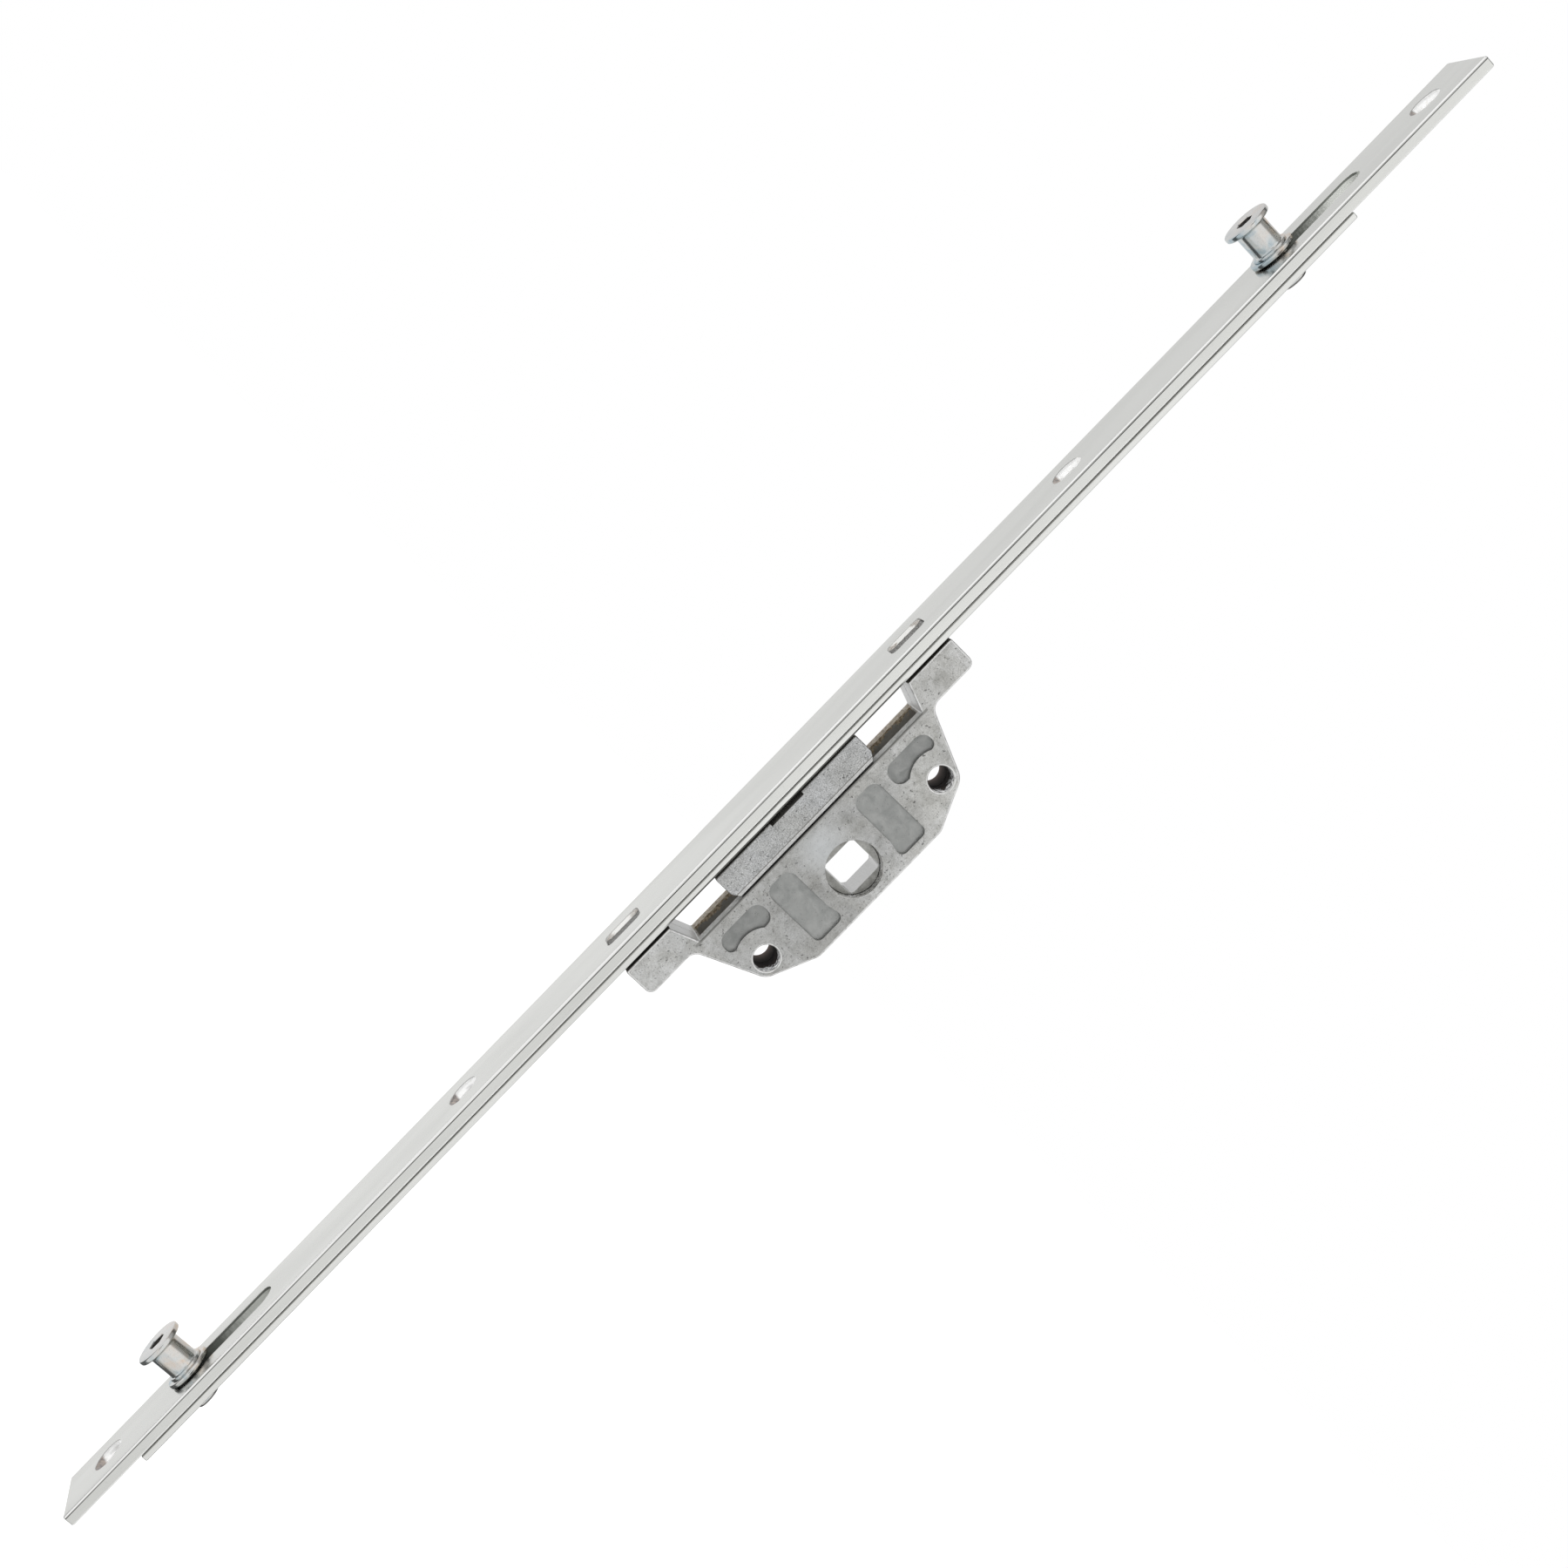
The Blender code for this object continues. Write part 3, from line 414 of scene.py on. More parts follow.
def casting(nodes, dark, middle, light, roughness, sparkle):
    """Colour, roughness and normal of a raw zinc die casting."""
    point = nodes.object_point()
    stain = nodes.noise(point, 0.13, 3, 0.5, 0.8)
    pits = nodes.noise(point, 2.4, 2, 0.5)
    cloud = nodes.noise(point, 0.42, 5, 0.6, 0.6)
    mottle = nodes.noise(point, 1.7, 5, 0.62)
    skin = nodes.noise(point, 4.5, 3, 0.6)
    colour = nodes.ramp(cloud, (0.30, dark), (0.5, middle), (0.70, light))
    shades = ((0.8, nodes.ramp(stain, (0.35, (0.86, 0.85, 0.82)), (0.62, grey(1.0)))),
              (0.7, nodes.ramp(mottle, (0.30, (0.62, 0.61, 0.59)), (0.46, grey(1.0)))),
              (sparkle, nodes.ramp(skin, (0.36, grey(0.60)), (0.5, grey(0.96)),
                                   (0.66, grey(1.25)))),
              (1.0, nodes.ramp(pits, (0.29, grey(0.36)), (0.345, grey(1.0)))))
    for strength, shade in shades:
        colour = nodes.dim(strength, colour, shade)
    rough = nodes.spread(mottle, 0.3, 0.7, roughness + 0.08, roughness - 0.06)
    relief = nodes.bump(pits, 0.5, 0.00008, nodes.bump(mottle, 0.22, 0.00010))
    return colour, rough, nodes.bump(skin, 0.3 + sparkle, 0.00005, relief)


def graded_face(nodes, place, colour):
    """Face lighter away from the faceplate, towards its upper end and at its outer ends, with a
    pale halo beside the spindle.
    """
    lighter_where = nodes.add(nodes.above(place.down, 21.0, 29.0),
                        nodes.spread(place.along, -6.0, 16.0, -0.6, 0.5))
    lighter_where = nodes.larger(lighter_where, nodes.above(place.off_middle, 24.0, 34.0, 0.6))
    lightening = nodes.ramp(lighter_where, (0.0, grey(0.92)), (0.25, grey(1.0)), (1.0, grey(1.26)))
    colour = nodes.dim(1.0, colour, lightening)
    from_halo = nodes.vector("DISTANCE", place.flat, (14.2, 0.0, -1.5))
    return nodes.mix(nodes.below(from_halo, 1.0, 5.5, 0.7), colour, (0.63, 0.65, 0.66))


def recesses(nodes, place, colour, rough):
    """Smooth floors painted dark as shade and walls painted with shade, in recesses within a duller
    field.
    """
    field = nodes.both(nodes.above(place.down, 12.1, 12.2),
                       nodes.below(place.off_middle, 26.4, 26.5))
    dull = nodes.both(field, nodes.above(place.off_middle, 4.5, 5.5, 0.8),
                      nodes.below(place.off_middle, 15.0, 16.5))
    colour = nodes.mix(dull, colour, nodes.dim(1.0, colour, grey(0.90)))
    # Painted shade: the recess floors are painted dark, darker still in the kidney recesses
    floor_shade = nodes.noise(place.point, 0.5, 3, 0.5, 0.5)
    floor_shade = nodes.ramp(floor_shade, (0.32, (0.29, 0.298, 0.29)), (0.68, (0.39, 0.395, 0.385)))
    specks = nodes.noise(place.point, 2.6, 4, 0.7)
    floor_shade = nodes.dim(1.0, floor_shade, nodes.ramp(specks, (0.29, grey(0.40)), (0.37, grey(1.0))))
    kidneys = nodes.above(place.off_middle, 14.5, 15.0)
    floor_shade = nodes.mix(kidneys, floor_shade, nodes.dim(1.0, floor_shade, grey(0.86)))
    floors = nodes.both(field, nodes.between(place.off_side, RECESS_FLOOR - 0.2,
                                             RECESS_FLOOR + 0.07, 0.04))
    colour = nodes.mix(floors, colour, floor_shade)
    # Painted shade on the recess walls
    walls = nodes.both(field, nodes.between(place.off_side, RECESS_FLOOR + 0.12,
                                            RECESS_FLOOR + 0.46, 0.05))
    colour = nodes.mix(walls, colour, nodes.dim(1.0, colour, grey(0.42)))
    return colour, nodes.blend(floors, rough, 0.36)


def case_edges(nodes, place, colour):
    """Rims with a broken painted highlight, but a dark line along the sills of the windows."""
    # Painted highlight: a bright line along the rims, broken up by a noise
    rim_highlight = nodes.between(place.off_side, CASE_SIDE - 0.18, CASE_SIDE - 0.015, 0.012)
    highlight_breaks = nodes.spread(nodes.noise(place.point, 1.1, 4, 0.6), 0.34, 0.50, 0.25, 1.0)
    colour = nodes.mix(nodes.both(rim_highlight, highlight_breaks), colour, (0.84, 0.84, 0.83))
    sill = nodes.both(nodes.below(place.down, CASE_TOP + 0.26, CASE_TOP + 0.36),
                      nodes.below(place.off_middle, WINDOW_TOP - 0.9, WINDOW_TOP - 0.7),
                      nodes.above(place.off_side, CASE_SIDE - 0.5, CASE_SIDE - 0.3),
                      nodes.above(place.down, CASE_TOP - 0.2, CASE_TOP - 0.1))
    return nodes.mix(sill, colour, (0.30, 0.30, 0.285))


def hub_seat(nodes, place, colour):
    """Painted shade in a ring on the case's face round the hub, and flaking metal on the bore's
    wall.
    """
    from_spindle = nodes.vector("DISTANCE", place.flat, (BACKSET, 0.0, 0.0))
    # Painted shade: a dark ring round the hub, stronger on one side
    lower = nodes.spread(nodes.add(place.down, place.along), BACKSET - 4.0, BACKSET + 5.0,
                         0.15, 0.95)
    ring = nodes.both(nodes.between(from_spindle, HUB_RADIUS - 0.07, HUB_RADIUS + 0.10, 0.10),
                      lower, nodes.above(place.off_side, CASE_SIDE - 0.2, CASE_SIDE - 0.1))
    colour = nodes.mix(ring, colour, (0.16, 0.155, 0.14))
    collar = nodes.both(nodes.below(from_spindle, HUB_RADIUS + 0.09, HUB_RADIUS + 0.13),
                        nodes.below(place.off_side, CASE_SIDE - 0.18, CASE_SIDE - 0.12))
    flakes = nodes.noise(place.point, 1.9, 4, 0.7)
    flakes = nodes.ramp(flakes, (0.40, (0.16, 0.155, 0.145)), (0.48, (0.52, 0.52, 0.51)),
                        (0.55, (0.93, 0.93, 0.92)))
    return nodes.mix(collar, colour, flakes)


def screw_bores(nodes, place, colour):
    """Handle screws' bores painted near black as shade, browner at the far end, with painted glints
    at the mouth; also the bores' mask."""
    mirrored = nodes.vector("ABSOLUTE", place.flat)
    from_screw = nodes.vector("DISTANCE", mirrored, (BACKSET, 0.0, HANDLE_SCREW_PITCH / 2))
    bores = nodes.both(nodes.below(from_screw, SCREW_BORE_RADIUS + 0.05, SCREW_BORE_RADIUS + 0.09),
                       nodes.below(place.off_side, CASE_SIDE - 0.38, CASE_SIDE - 0.3))
    # Painted shade: the bore walls are painted near black, lighter brown towards the far opening
    blotches = nodes.noise(place.point, 0.7, 4, 0.6, 0.5)
    shade_mottle = nodes.ramp(blotches, (0.35, (0.012, 0.009, 0.008)), (0.66, (0.045, 0.034, 0.029)))
    shade_mottle = nodes.mix(nodes.above(place.side, 0.5, 5.5, 0.7), shade_mottle, (0.36, 0.29, 0.26))
    mouth = nodes.below(nodes.wander(place.side, blotches, 1.4), -3.7, -3.1)
    glints = nodes.noise(place.point, 1.5, 4, 0.7)
    glints = nodes.ramp(glints, (0.40, (0.05, 0.04, 0.036)), (0.48, (0.42, 0.43, 0.44)),
                        (0.54, (0.98, 0.98, 0.98)))
    return nodes.mix(bores, colour, nodes.mix(mouth, shade_mottle, glints)), bores


def greasy_channel(nodes, place, colour):
    """Dull channel with a crust of grease on its far edge; also the masks of both."""
    channel = nodes.both(nodes.below(place.off_side, 3.06, 3.1),
                         nodes.between(place.down, CASE_TOP, 14.0, 0.1),
                         nodes.below(place.off_middle, WINDOW_TOP - 0.7, WINDOW_TOP - 0.6))
    colour = nodes.mix(channel, colour, (0.52, 0.50, 0.465))
    ragged = nodes.wander(place.down, nodes.noise(place.point, 0.9, 5, 0.7, 0.6), 0.8)
    crust = nodes.both(nodes.below(ragged, CASE_TOP + 0.55, CASE_TOP + 0.65),
                       nodes.above(place.down, CASE_TOP - 0.15, CASE_TOP - 0.1),
                       nodes.between(place.side, 2.0, CASE_SIDE - 0.03, 0.1),
                       nodes.below(place.off_middle, WINDOW_TOP - 0.3, WINDOW_TOP - 0.2))
    grease = nodes.noise(place.point, 2.0, 4, 0.6)
    grease = nodes.ramp(grease, (0.34, (0.24, 0.17, 0.10)), (0.52, (0.62, 0.51, 0.36)),
                        (0.66, (0.84, 0.76, 0.62)))
    return nodes.mix(crust, colour, grease), channel, crust


def case_material():
    """Die casting with painted shade in recesses, bores and under the rail, painted rim highlights,
    lit window ends and a greasy channel.
    """
    nodes = Nodes(bpy.data.materials.new("case_casting"))
    colour, rough, normal = casting(nodes, (0.43, 0.432, 0.42), (0.54, 0.543, 0.535),
                                    (0.62, 0.625, 0.62), 0.42, 0.42)
    place = Place(nodes)
    colour = graded_face(nodes, place, colour)
    colour, rough = recesses(nodes, place, colour, rough)
    colour = case_edges(nodes, place, colour)
    colour = hub_seat(nodes, place, colour)
    colour, bores = screw_bores(nodes, place, colour)
    rough = nodes.blend(bores, rough, 0.85)
    colour, channel, crust = greasy_channel(nodes, place, colour)
    # Painted shade on the case under the rail
    shade_under_rail = nodes.both(nodes.between(place.down, 1.3, 4.78, 0.04),
                            nodes.below(place.off_side, CASE_SIDE - 0.22, CASE_SIDE - 0.14))
    colour = nodes.mix(shade_under_rail, colour, (0.13, 0.125, 0.11))
    # Painted light: the window end faces are painted pale, as if lit
    lit_window_ends = nodes.both(nodes.between(place.off_middle, 27.1, WINDOW_TOP + 0.1, 0.03),
                             nodes.between(place.down, 4.9, CASE_TOP - 0.08, 0.05),
                             nodes.below(place.off_side, CASE_SIDE - 0.20, CASE_SIDE - 0.14))
    colour = nodes.mix(lit_window_ends, colour, (0.74, 0.745, 0.74))
    rough = nodes.blend(nodes.larger(shade_under_rail, channel), rough, 0.7)
    metal = nodes.blend(nodes.larger(crust, bores), 0.9, 0.05)
    return nodes.finish(colour, metal, rough, normal)


def shuttle_material():
    """Die casting with a coarse sparkling skin, a skirt painted pale as lit, a painted shade line
    and a top painted dark as shade.
    """
    nodes = Nodes(bpy.data.materials.new("shuttle_casting"))
    colour, rough, normal = casting(nodes, (0.44, 0.447, 0.45), (0.545, 0.553, 0.557),
                                    (0.605, 0.615, 0.62), 0.34, 1.0)
    place = Place(nodes)
    # Painted light on the skirt below the step, and a painted line of shade along the step
    skirt = nodes.above(place.down, 9.26, 9.30)
    colour = nodes.mix(skirt, colour, nodes.mix(0.45, colour, (0.74, 0.735, 0.72)))
    colour = nodes.mix(nodes.between(place.down, 9.14, 9.24, 0.04), colour, (0.22, 0.215, 0.2))
    # Painted shade on the shuttle's top under the rail
    shade_under_rail = nodes.both(nodes.below(place.down, 5.20, 5.26),
                            nodes.below(place.off_side, 5.72, 5.82))
    colour = nodes.mix(shade_under_rail, colour, (0.24, 0.235, 0.21))
    return nodes.finish(colour, 0.9, nodes.blend(shade_under_rail, rough, 0.7), normal)


def swage_material():
    """Riveted tenon: dark granular zinc, paler on the far bank, with a bright smeared patch."""
    nodes = Nodes(bpy.data.materials.new("swaged_zinc"))
    place = Place(nodes)
    grains = nodes.noise(place.point, 3.6, 4, 0.7)
    colour = nodes.ramp(grains, (0.34, (0.08, 0.077, 0.07)), (0.48, (0.21, 0.205, 0.195)),
                        (0.62, (0.46, 0.46, 0.45)))
    bank = nodes.above(place.side, 1.85, 2.0)
    pale = nodes.ramp(grains, (0.36, (0.44, 0.39, 0.34)), (0.6, (0.78, 0.76, 0.73)))
    colour = nodes.mix(bank, colour, pale)
    smear = nodes.noise(nodes.object_point((1, 1, 0.4)), 1.2, 4, 0.6)
    from_middle = nodes.size(nodes.minus(place.off_middle, TENON_AT))
    patch = nodes.both(nodes.below(nodes.wander(from_middle, smear, 0.8), 1.9, 2.6), bank)
    colour = nodes.mix(patch, colour, (0.99, 0.985, 0.96))
    rough = nodes.blend(patch, 0.5, 0.22)
    return nodes.finish(colour, 0.95, rough, nodes.bump(grains, 0.35, 0.00006))


def gear_material():
    """Sintered steel: dark end faces, oily and partly painted as the recessed hub's shade, round a
    smooth bright square hole.
    """
    nodes = Nodes(bpy.data.materials.new("gear_steel_skin"))
    point = nodes.object_point()
    fine = nodes.noise(point, 2.6, 5, 0.65)
    cloud = nodes.noise(point, 0.6, 4, 0.6)
    # The end faces' darkness is partly oily steel and partly painted shade of the recess
    face = nodes.ramp(cloud, (0.3, (0.25, 0.248, 0.23)), (0.5, (0.37, 0.37, 0.35)),
                      (0.7, (0.50, 0.50, 0.48)))
    face = nodes.dim(0.6, face, nodes.ramp(fine, (0.3, grey(0.55)), (0.5, grey(1.0))))
    centred = nodes.vector("ABSOLUTE", nodes.vector("SUBTRACT", point, (BACKSET, 0.0, 0.0)))
    down, _, along = nodes.split(centred)
    square = nodes.below(nodes.larger(down, along), SPINDLE_HALF + 0.035, SPINDLE_HALF + 0.095)
    lapped = nodes.ramp(fine, (0.3, (0.47, 0.47, 0.465)), (0.7, (0.55, 0.55, 0.545)))
    rough = nodes.blend(square, nodes.spread(fine, 0.3, 0.7, 0.36, 0.5), 0.24)
    colour = nodes.mix(square, face, lapped)
    return nodes.finish(colour, 0.95, rough, nodes.bump(fine, 0.15, 0.00004))


# Pieces

TURN_STEPS = 96
# Distances in metres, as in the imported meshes
WELD = 0.000002
SAME_LEVEL = 0.00001
HEX_REACH = 0.0020  # from a socket's middle, holds its corners and nothing else of the top


def skin(name, body, slot, mesh, *nodes):
    """Object of a mesh that stands for the named CAD nodes and rides on their body."""
    piece = bpy.data.objects.new(name, mesh)
    bpy.context.scene.collection.objects.link(piece)
    if nodes:
        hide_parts(*nodes)
    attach(piece, body)
    return piece


def dressed(node, body, slot, material, ease=0.12, segments=3, smooth=35):
    """Copy of a CAD node with clean planar faces and eased edges, which stands for the node."""
    form = bmesh.new()
    form.from_mesh(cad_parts[node].data)
    bmesh.ops.remove_doubles(form, verts=form.verts, dist=WELD)
    bmesh.ops.dissolve_limit(form, angle_limit=math.radians(0.2), verts=form.verts,
                             edges=form.edges)
    bmesh.ops.recalc_face_normals(form, faces=form.faces)
    mesh = bpy.data.meshes.new(node + "_skin")
    form.to_mesh(mesh)
    form.free()
    mesh.shade_smooth()
    mesh.set_sharp_from_angle(angle=math.radians(smooth))
    mesh.materials.append(material)
    piece = skin(node + "_skin", body, slot, mesh, node)
    bevel = piece.modifiers.new("ease", "BEVEL")
    bevel.width = ease * MM
    bevel.segments = segments
    bevel.limit_method = "ANGLE"
    bevel.angle_limit = math.radians(smooth + 5)
    weighted = piece.modifiers.new("flat_faces", "WEIGHTED_NORMAL")
    weighted.mode = "FACE_AREA"
    weighted.weight = 80
    weighted.keep_sharp = True


def arc(centre, radius, start, end, count=5):
    steps = [math.radians(start + (end - start) * step / (count - 1)) for step in range(count)]
    return [(centre[0] + radius * math.cos(turn), centre[1] + radius * math.sin(turn))
            for turn in steps]


def turned(form, profile, centre, hexagon=None):
    """Closed solid of revolution about the faceplate's normal, heights measured above its front.

    The profile runs from the top outwards and down; a hexagon (flats radius, depth, turn) sinks
    a socket into the top.
    """
    along, across = centre

    def place(radius, height, turn):
        return form.verts.new((-height * MM, across + radius * MM * math.sin(turn),
                               along + radius * MM * math.cos(turn)))

    turns = [2 * math.pi * step / TURN_STEPS for step in range(TURN_STEPS)]
    rings = []
    if hexagon:
        flats, depth, hex_turn = hexagon
        chamfer_width, chamfer_height, cone_depth = 0.12, 0.15, 0.5
        top = profile[0][1]
        reaches = []
        for turn in turns:
            part = (turn - hex_turn + math.pi / 6) % (math.pi / 3) - math.pi / 6
            reaches.append(flats / math.cos(part))
        for extra, height in ((0.0, top - depth), (0.0, top - chamfer_height),
                              (chamfer_width, top)):
            rings.append([place(reach + extra, height, turn)
                          for reach, turn in zip(reaches, turns)])
        floor = place(0, top - depth - cone_depth, 0)
        for first in range(TURN_STEPS):
            form.faces.new((floor, rings[0][first], rings[0][(first + 1) % TURN_STEPS]))
    for radius, height in profile:
        if radius > 0:
            rings.append([place(radius, height, turn) for turn in turns])
    for inner, outer in zip(rings, rings[1:]):
        for first in range(TURN_STEPS):
            second = (first + 1) % TURN_STEPS
            form.faces.new((inner[first], inner[second], outer[second], outer[first]))
    for radius, height, ring in ((*profile[0], rings[0]), (*profile[-1], rings[-1])):
        if radius == 0:
            tip = place(0, height, 0)
            for first in range(TURN_STEPS):
                form.faces.new((tip, ring[first], ring[(first + 1) % TURN_STEPS]))


def mesh_of(name, build):
    form = bmesh.new()
    build(form)
    bmesh.ops.recalc_face_normals(form, faces=form.faces)
    mesh = bpy.data.meshes.new(name)
    form.to_mesh(mesh)
    form.free()
    return mesh


def united(name, first, second):
    """One mesh of two overlapping solids."""
    scene = bpy.context.scene.collection
    body = bpy.data.objects.new(name + "_body", first)
    tool = bpy.data.objects.new(name + "_tool", second)
    for helper in (body, tool):
        scene.objects.link(helper)
    join = body.modifiers.new("join", "BOOLEAN")
    join.operation = "UNION"
    join.solver = "EXACT"
    join.object = tool
    depsgraph = bpy.context.evaluated_depsgraph_get()
    mesh = bpy.data.meshes.new_from_object(body.evaluated_get(depsgraph))
    for helper in (body, tool):
        bpy.data.objects.remove(helper)
    mesh.name = name
    return mesh


def middle_of(points):
    lows = [min(point[axis] for point in points) for axis in range(3)]
    highs = [max(point[axis] for point in points) for axis in range(3)]
    return [(low + high) / 2 for low, high in zip(lows, highs)]


def add_cam(node, shift):
    """Finely turned copy of a cam: rounded head, stem, foot ring, flange and rivet."""
    points = [vertex.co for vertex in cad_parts[node].data.vertices]
    top = min(point.x for point in points)
    foot = max(point.x for point in points)
    crown = [point for point in points if point.x < top + SAME_LEVEL]
    _, across, along = middle_of(crown)
    corners = [point for point in crown if math.dist(point[1:], (across, along)) < HEX_REACH]
    hex_turn = math.atan2(corners[0].y - across, corners[0].z - along) - math.pi / 6
    rivet = [point for point in points if point.x > foot - SAME_LEVEL]
    _, rivet_across, rivet_along = middle_of(rivet)
    high = -top / MM
    low = -foot / MM
    head_r, stem_r, foot_r, flange_r, shank_r, neck_r, rivet_r = 4.55, 3.0, 3.5, 4.45, 2.5, 1.8, 2.5
    seat, flange_top, overlap = 0.2, 1.1, 0.05
    socket_radius, socket_depth = 1.5, 3.5
    mushroom = (arc((head_r - 0.28, high - 0.28), 0.28, 90, 0)
                + arc((head_r - 0.32, high - 0.68), 0.32, 0, -75)
                + arc((stem_r + 0.55, high - 1.6), 0.55, 100, 180)
                + [(stem_r, 1.95)] + arc((stem_r + 0.16, 1.72), 0.16, 180, 250, 3)
                + arc((foot_r - 0.14, 1.42), 0.14, 80, 0, 4)
                + [(foot_r, 1.22), (foot_r - 0.12, 1.16), (foot_r - 0.1, flange_top)]
                + arc((flange_r - 0.25, flange_top - 0.25), 0.25, 90, 0)
                + arc((flange_r - 0.2, seat + 0.2), 0.2, 0, -90)
                + [(0, seat)])
    shank = ([(0, flange_top / 2), (shank_r, flange_top / 2), (shank_r, overlap - RAIL_TOP),
              (neck_r, overlap - RAIL_TOP), (neck_r, -RAIL_BACK - overlap),
              (rivet_r, -RAIL_BACK - overlap)]
             + arc((rivet_r - 0.3, low + 0.3), 0.3, 0, -90) + [(0, low)])
    hexagon = (socket_radius, socket_depth, hex_turn)
    body = mesh_of(node + "_mushroom",
                   lambda form: turned(form, mushroom, (along, across), hexagon))
    pin = mesh_of(node + "_pin", lambda form: turned(form, shank, (rivet_along, rivet_across)))
    mesh = united(node + "_skin", body, pin)
    mesh.shade_smooth()
    mesh.set_sharp_from_angle(angle=math.radians(38))
    mesh.materials.clear()
    centre = (along / MM, across / MM)
    mesh.materials.append(cam_material(node + "_plating", centre, shift))
    skin(node + "_skin", node, "cam_steel", mesh, node)


def add_swage(name, side):
    """Spread top of a riveted tenon: lumpy floor that climbs to the far edge of its slot."""
    columns, rows = 60, 40
    half_length, half_width, corner = 3.8, 2.92, 1.2
    floor, rise, lump, ceiling = -0.60, 0.48, 0.07, -0.04
    climb_from, end_from, skirt_foot = 1.8, 2.9, 0.75

    def lumps(form):
        grid = []
        for row in range(rows + 1):
            across = (2 * row / rows - 1) * half_width
            over = max(0.0, abs(across) - (half_width - corner))
            reach = half_length - corner + math.sqrt(corner ** 2 - over ** 2)
            climb = min(max((across - climb_from) / (half_width - climb_from), 0.0), 1.0)
            line = []
            for column in range(columns + 1):
                along = (2 * column / columns - 1) * reach
                spot = Vector((along * 1.6, across * 1.6, 7.0 * side))
                rough = noise.fractal(spot, 0.8, 2.0, 3)
                ends = max(0.0, abs(along) - end_from) ** 2 * 0.25
                height = floor + rise * climb + lump * rough * (1 - 0.8 * climb) + ends
                line.append(form.verts.new((-min(height, ceiling) * MM, across * MM,
                                            (side * TENON_AT + along) * MM)))
            grid.append(line)
        for low, high in zip(grid, grid[1:]):
            for column in range(columns):
                form.faces.new((low[column], low[column + 1], high[column + 1], high[column]))
        border = [edge for edge in form.edges if edge.is_boundary]
        skirt = bmesh.ops.extrude_edge_only(form, edges=border)["geom"]
        for foot in skirt:
            if isinstance(foot, bmesh.types.BMVert):
                foot.co.x = skirt_foot * MM
        bmesh.ops.holes_fill(form, edges=[edge for edge in form.edges if edge.is_boundary])

    mesh = mesh_of(name, lumps)
    mesh.shade_smooth()
    mesh.set_sharp_from_angle(angle=math.radians(50))
    mesh.materials.append(swage_material())
    skin(name, "frame", "case_zinc", mesh)


def add_pieces():
    case = case_material()
    dressed("faceplate", "frame", "plated_steel", faceplate_material(), 0.08, 2, 50)
    dressed("drive_rail", "drive", "rail_steel", rail_material(), 0.06, 2, 50)
    add_cam("lower_cam", 3.0)
    add_cam("upper_cam", 11.0)
    add_swage("upper_swage", 1)
    add_swage("lower_swage", -1)
    dressed("rack_shuttle", "drive", "shuttle_zinc", shuttle_material(), 0.1, 3, 50)
    dressed("spindle_gear", "spindle", "gear_steel", gear_material(), 0.08, 2)
    dressed("front_case", "frame", "case_zinc", case, 0.16, 3, 50)
    dressed("rear_case", "frame", "case_zinc", case, 0.16, 3, 50)


# Surroundings

FLOOR_LEVEL = -0.30
FLOOR_GLOW = 0.62
CARD_GLOW = 0.14
REFLECTED_GLOW = 0.90
WORLD_LIGHT = 0.55
# The camera's reflection: its reach to the side and upwards, and the directions that measure it
EYE_WIDTH = 0.30
EYE_HEIGHT = 0.55
TO_CAMERA = (-0.2424, -0.9701, 0.0)
BESIDE_CAMERA = (0.9701 / EYE_WIDTH, -0.2424 / EYE_WIDTH, 0.0)


def seen_by_eye(nodes):
    """Masks of the rays that see the white background, and of the glossy ones among them."""
    path = nodes.new("ShaderNodeLightPath")
    seen = nodes.larger(path.outputs["Is Camera Ray"], path.outputs["Is Transmission Ray"])
    glossy = path.outputs["Is Glossy Ray"]
    return nodes.larger(seen, glossy), glossy


def add_floor():
    mesh = bpy.data.meshes.new("floor")
    form = bmesh.new()
    bmesh.ops.create_grid(form, x_segments=1, y_segments=1, size=6)
    form.to_mesh(mesh)
    form.free()
    floor = bpy.data.objects.new("floor", mesh)
    floor.location = (0, 0, FLOOR_LEVEL)
    bpy.context.scene.collection.objects.link(floor)
    nodes = Nodes(bpy.data.materials.new("floor_paint"))
    shader = nodes.tree.nodes["Principled BSDF"]
    shader.inputs["Base Color"].default_value = (0.9, 0.9, 0.9, 1)
    shader.inputs["Roughness"].default_value = 0.9
    seen, glossy = seen_by_eye(nodes)
    glow = nodes.new("ShaderNodeEmission")
    nodes.link(nodes.math("MULTIPLY", seen, FLOOR_GLOW), glow.inputs["Strength"])
    plain = nodes.new("ShaderNodeAddShader")
    nodes.link(shader.outputs[0], plain.inputs[0])
    nodes.link(glow.outputs[0], plain.inputs[1])
    # The reflected floor has a dark card on it, as a studio table has
    coords = nodes.new("ShaderNodeTexCoord")
    across, back, _ = nodes.split(coords.outputs["Object"])
    card = nodes.both(nodes.between(back, 0.0, 0.18, 0.03), nodes.between(across, -0.8, 0.8, 0.1))
    reflected = nodes.new("ShaderNodeEmission")
    card_light = nodes.spread(card, 0.0, 1.0, REFLECTED_GLOW, CARD_GLOW)
    nodes.link(card_light, reflected.inputs["Strength"])
    whole = nodes.new("ShaderNodeMixShader")
    nodes.link(glossy, whole.inputs[0])
    nodes.link(plain.outputs[0], whole.inputs[1])
    nodes.link(reflected.outputs[0], whole.inputs[2])
    nodes.link(whole.outputs[0], nodes.tree.nodes["Material Output"].inputs["Surface"])
    mesh.materials.append(nodes.owner)


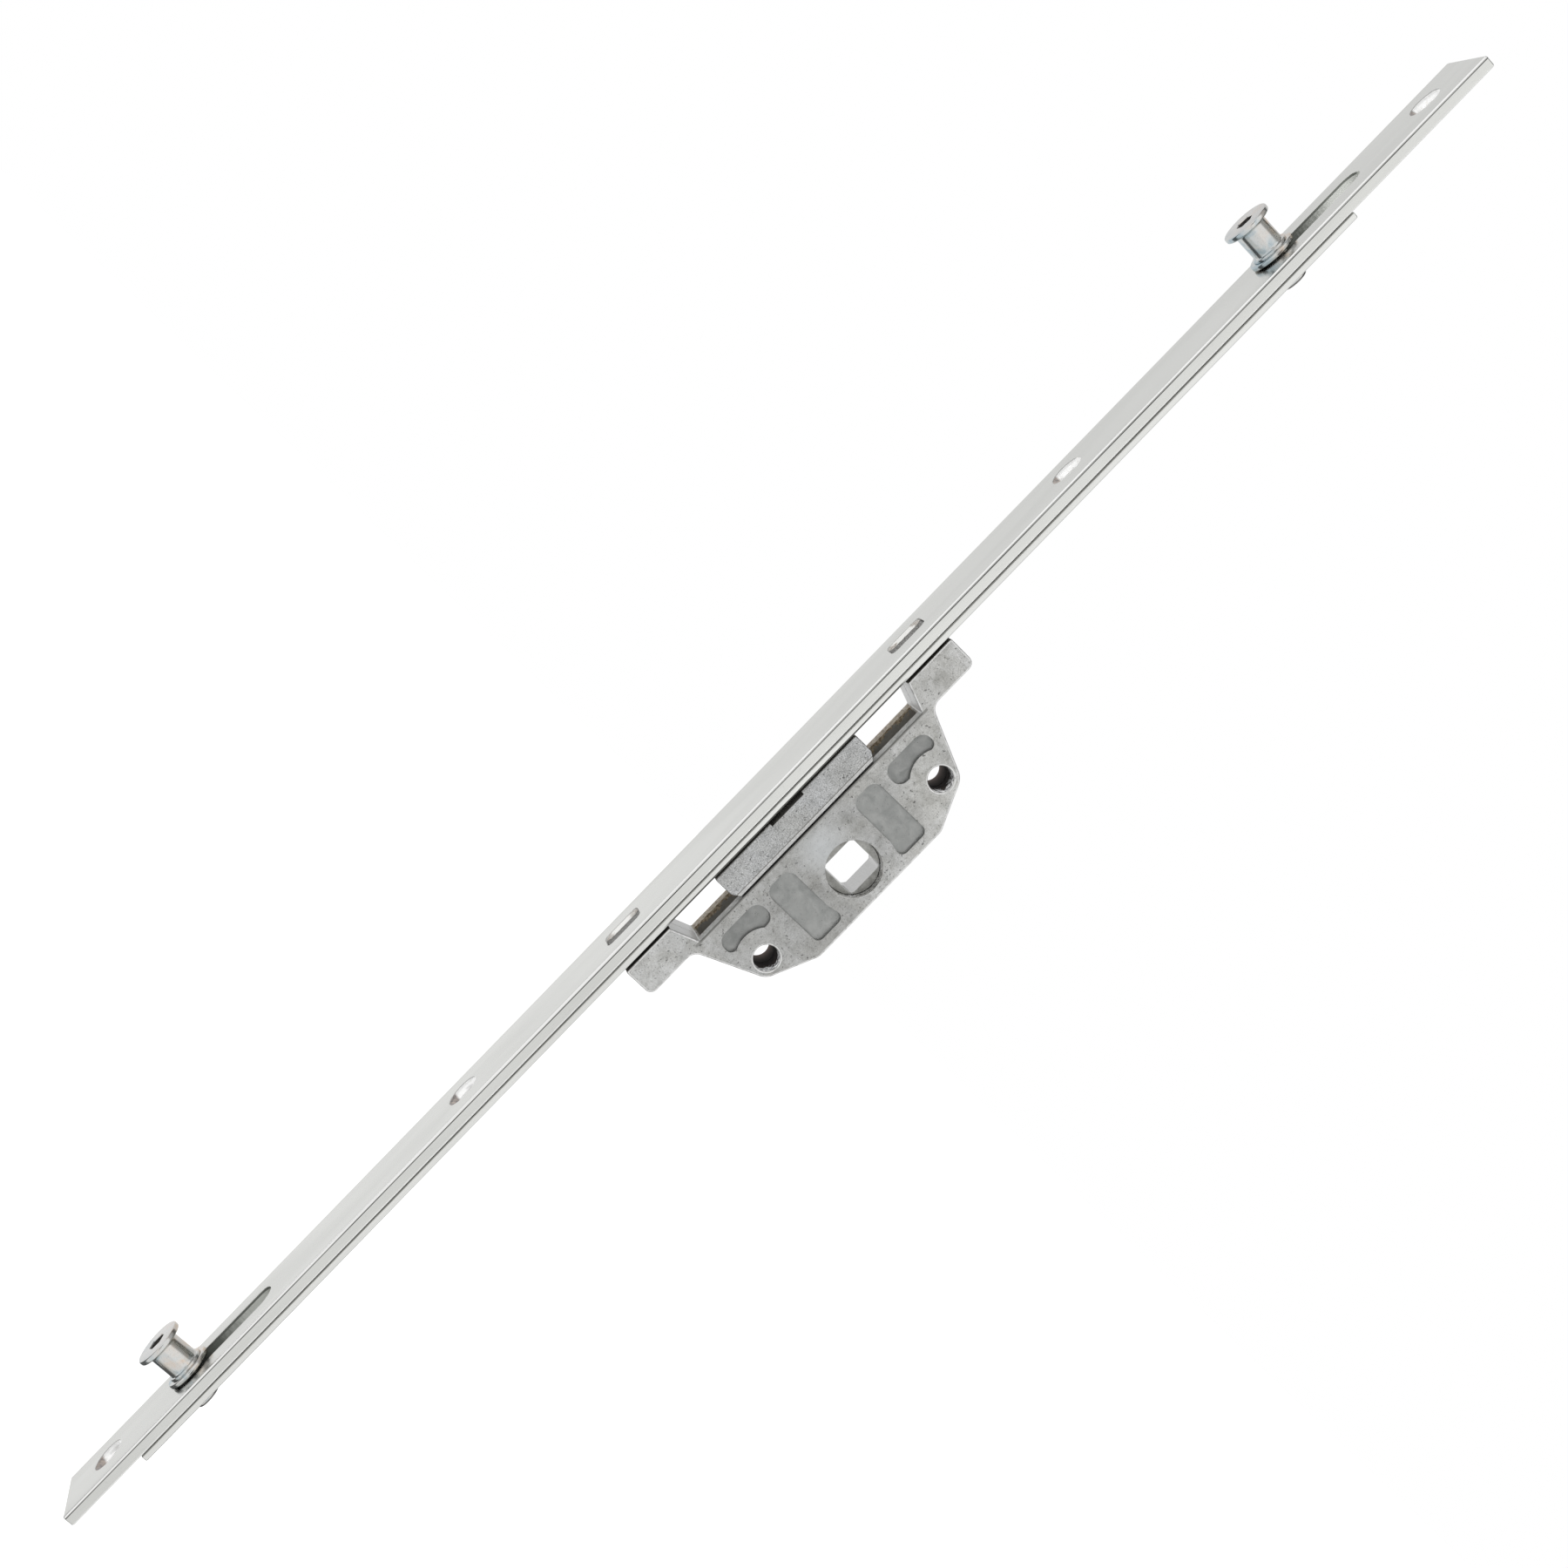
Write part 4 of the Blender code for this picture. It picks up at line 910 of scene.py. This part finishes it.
def add_world():
    """White studio; metal also sees the dark camera, a dark flag above and a duller far side."""
    world = bpy.data.worlds.new("studio")
    bpy.context.scene.world = world
    nodes = Nodes(world)
    backdrop = nodes.tree.nodes["Background"]
    backdrop.inputs["Color"].default_value = (1, 1, 1, 1)
    seen, glossy = seen_by_eye(nodes)
    way = nodes.new("ShaderNodeTexCoord").outputs["Generated"]
    down, back, up = nodes.split(way)
    far_side = nodes.spread(up, -0.4, 0.5, 0.93, 0.74)
    studio = nodes.blend(nodes.above(back, -0.2, 0.3), 1.0, far_side)
    # The camera is a soft dark oval round its own direction
    aside = nodes.vector("DOT_PRODUCT", way, BESIDE_CAMERA)
    over = nodes.math("MULTIPLY", up, 1 / EYE_HEIGHT)
    squares = [nodes.math("MULTIPLY", value, value) for value in (aside, over)]
    from_camera = nodes.math("SQRT", nodes.add(*squares))
    facing = nodes.above(nodes.vector("DOT_PRODUCT", way, TO_CAMERA), 0.0, 0.2)
    eye = nodes.both(nodes.below(from_camera, 0.55, 1.0, 0.85), facing)
    overhead = nodes.above(up, 0.45, 0.6)
    soft_flag = nodes.both(overhead, nodes.between(back, -0.45, 0.12, 0.06))
    hard_flag = nodes.both(overhead, nodes.between(back, 0.12, 0.40, 0.06))
    for light in (nodes.minus(1.0, eye), nodes.spread(soft_flag, 0.0, 1.0, 1.0, 0.5),
                  nodes.spread(hard_flag, 0.0, 1.0, 1.0, 0.2),
                  nodes.spread(down, 0.5, 0.9, 1.0, 0.9)):
        studio = nodes.math("MULTIPLY", studio, light)
    plain = nodes.blend(seen, WORLD_LIGHT, 1.0)
    nodes.link(nodes.blend(glossy, plain, studio), backdrop.inputs["Strength"])


def add_lamp(name, spot, size, power):
    """Soft box that lights the casting and the floor, but isn't mirrored as a hot spot."""
    data = bpy.data.lights.new(name, "AREA")
    data.shape = "RECTANGLE"
    data.size, data.size_y = size
    data.energy = power
    lamp = bpy.data.objects.new(name, data)
    bpy.context.scene.collection.objects.link(lamp)
    lamp.location = spot
    lamp.rotation_euler = (-Vector(spot)).to_track_quat("-Z", "Y").to_euler()
    lamp.visible_glossy = False


def add_lamps():
    add_lamp("key", (-0.9, -0.7, 0.5), (0.8, 0.8), 9)
    add_lamp("fill", (0.9, -0.9, -0.1), (0.9, 0.9), 4)


add_camera()
add_pieces()
add_floor()
add_world()
add_lamps()
bpy.context.scene.view_settings.view_transform = "Standard"
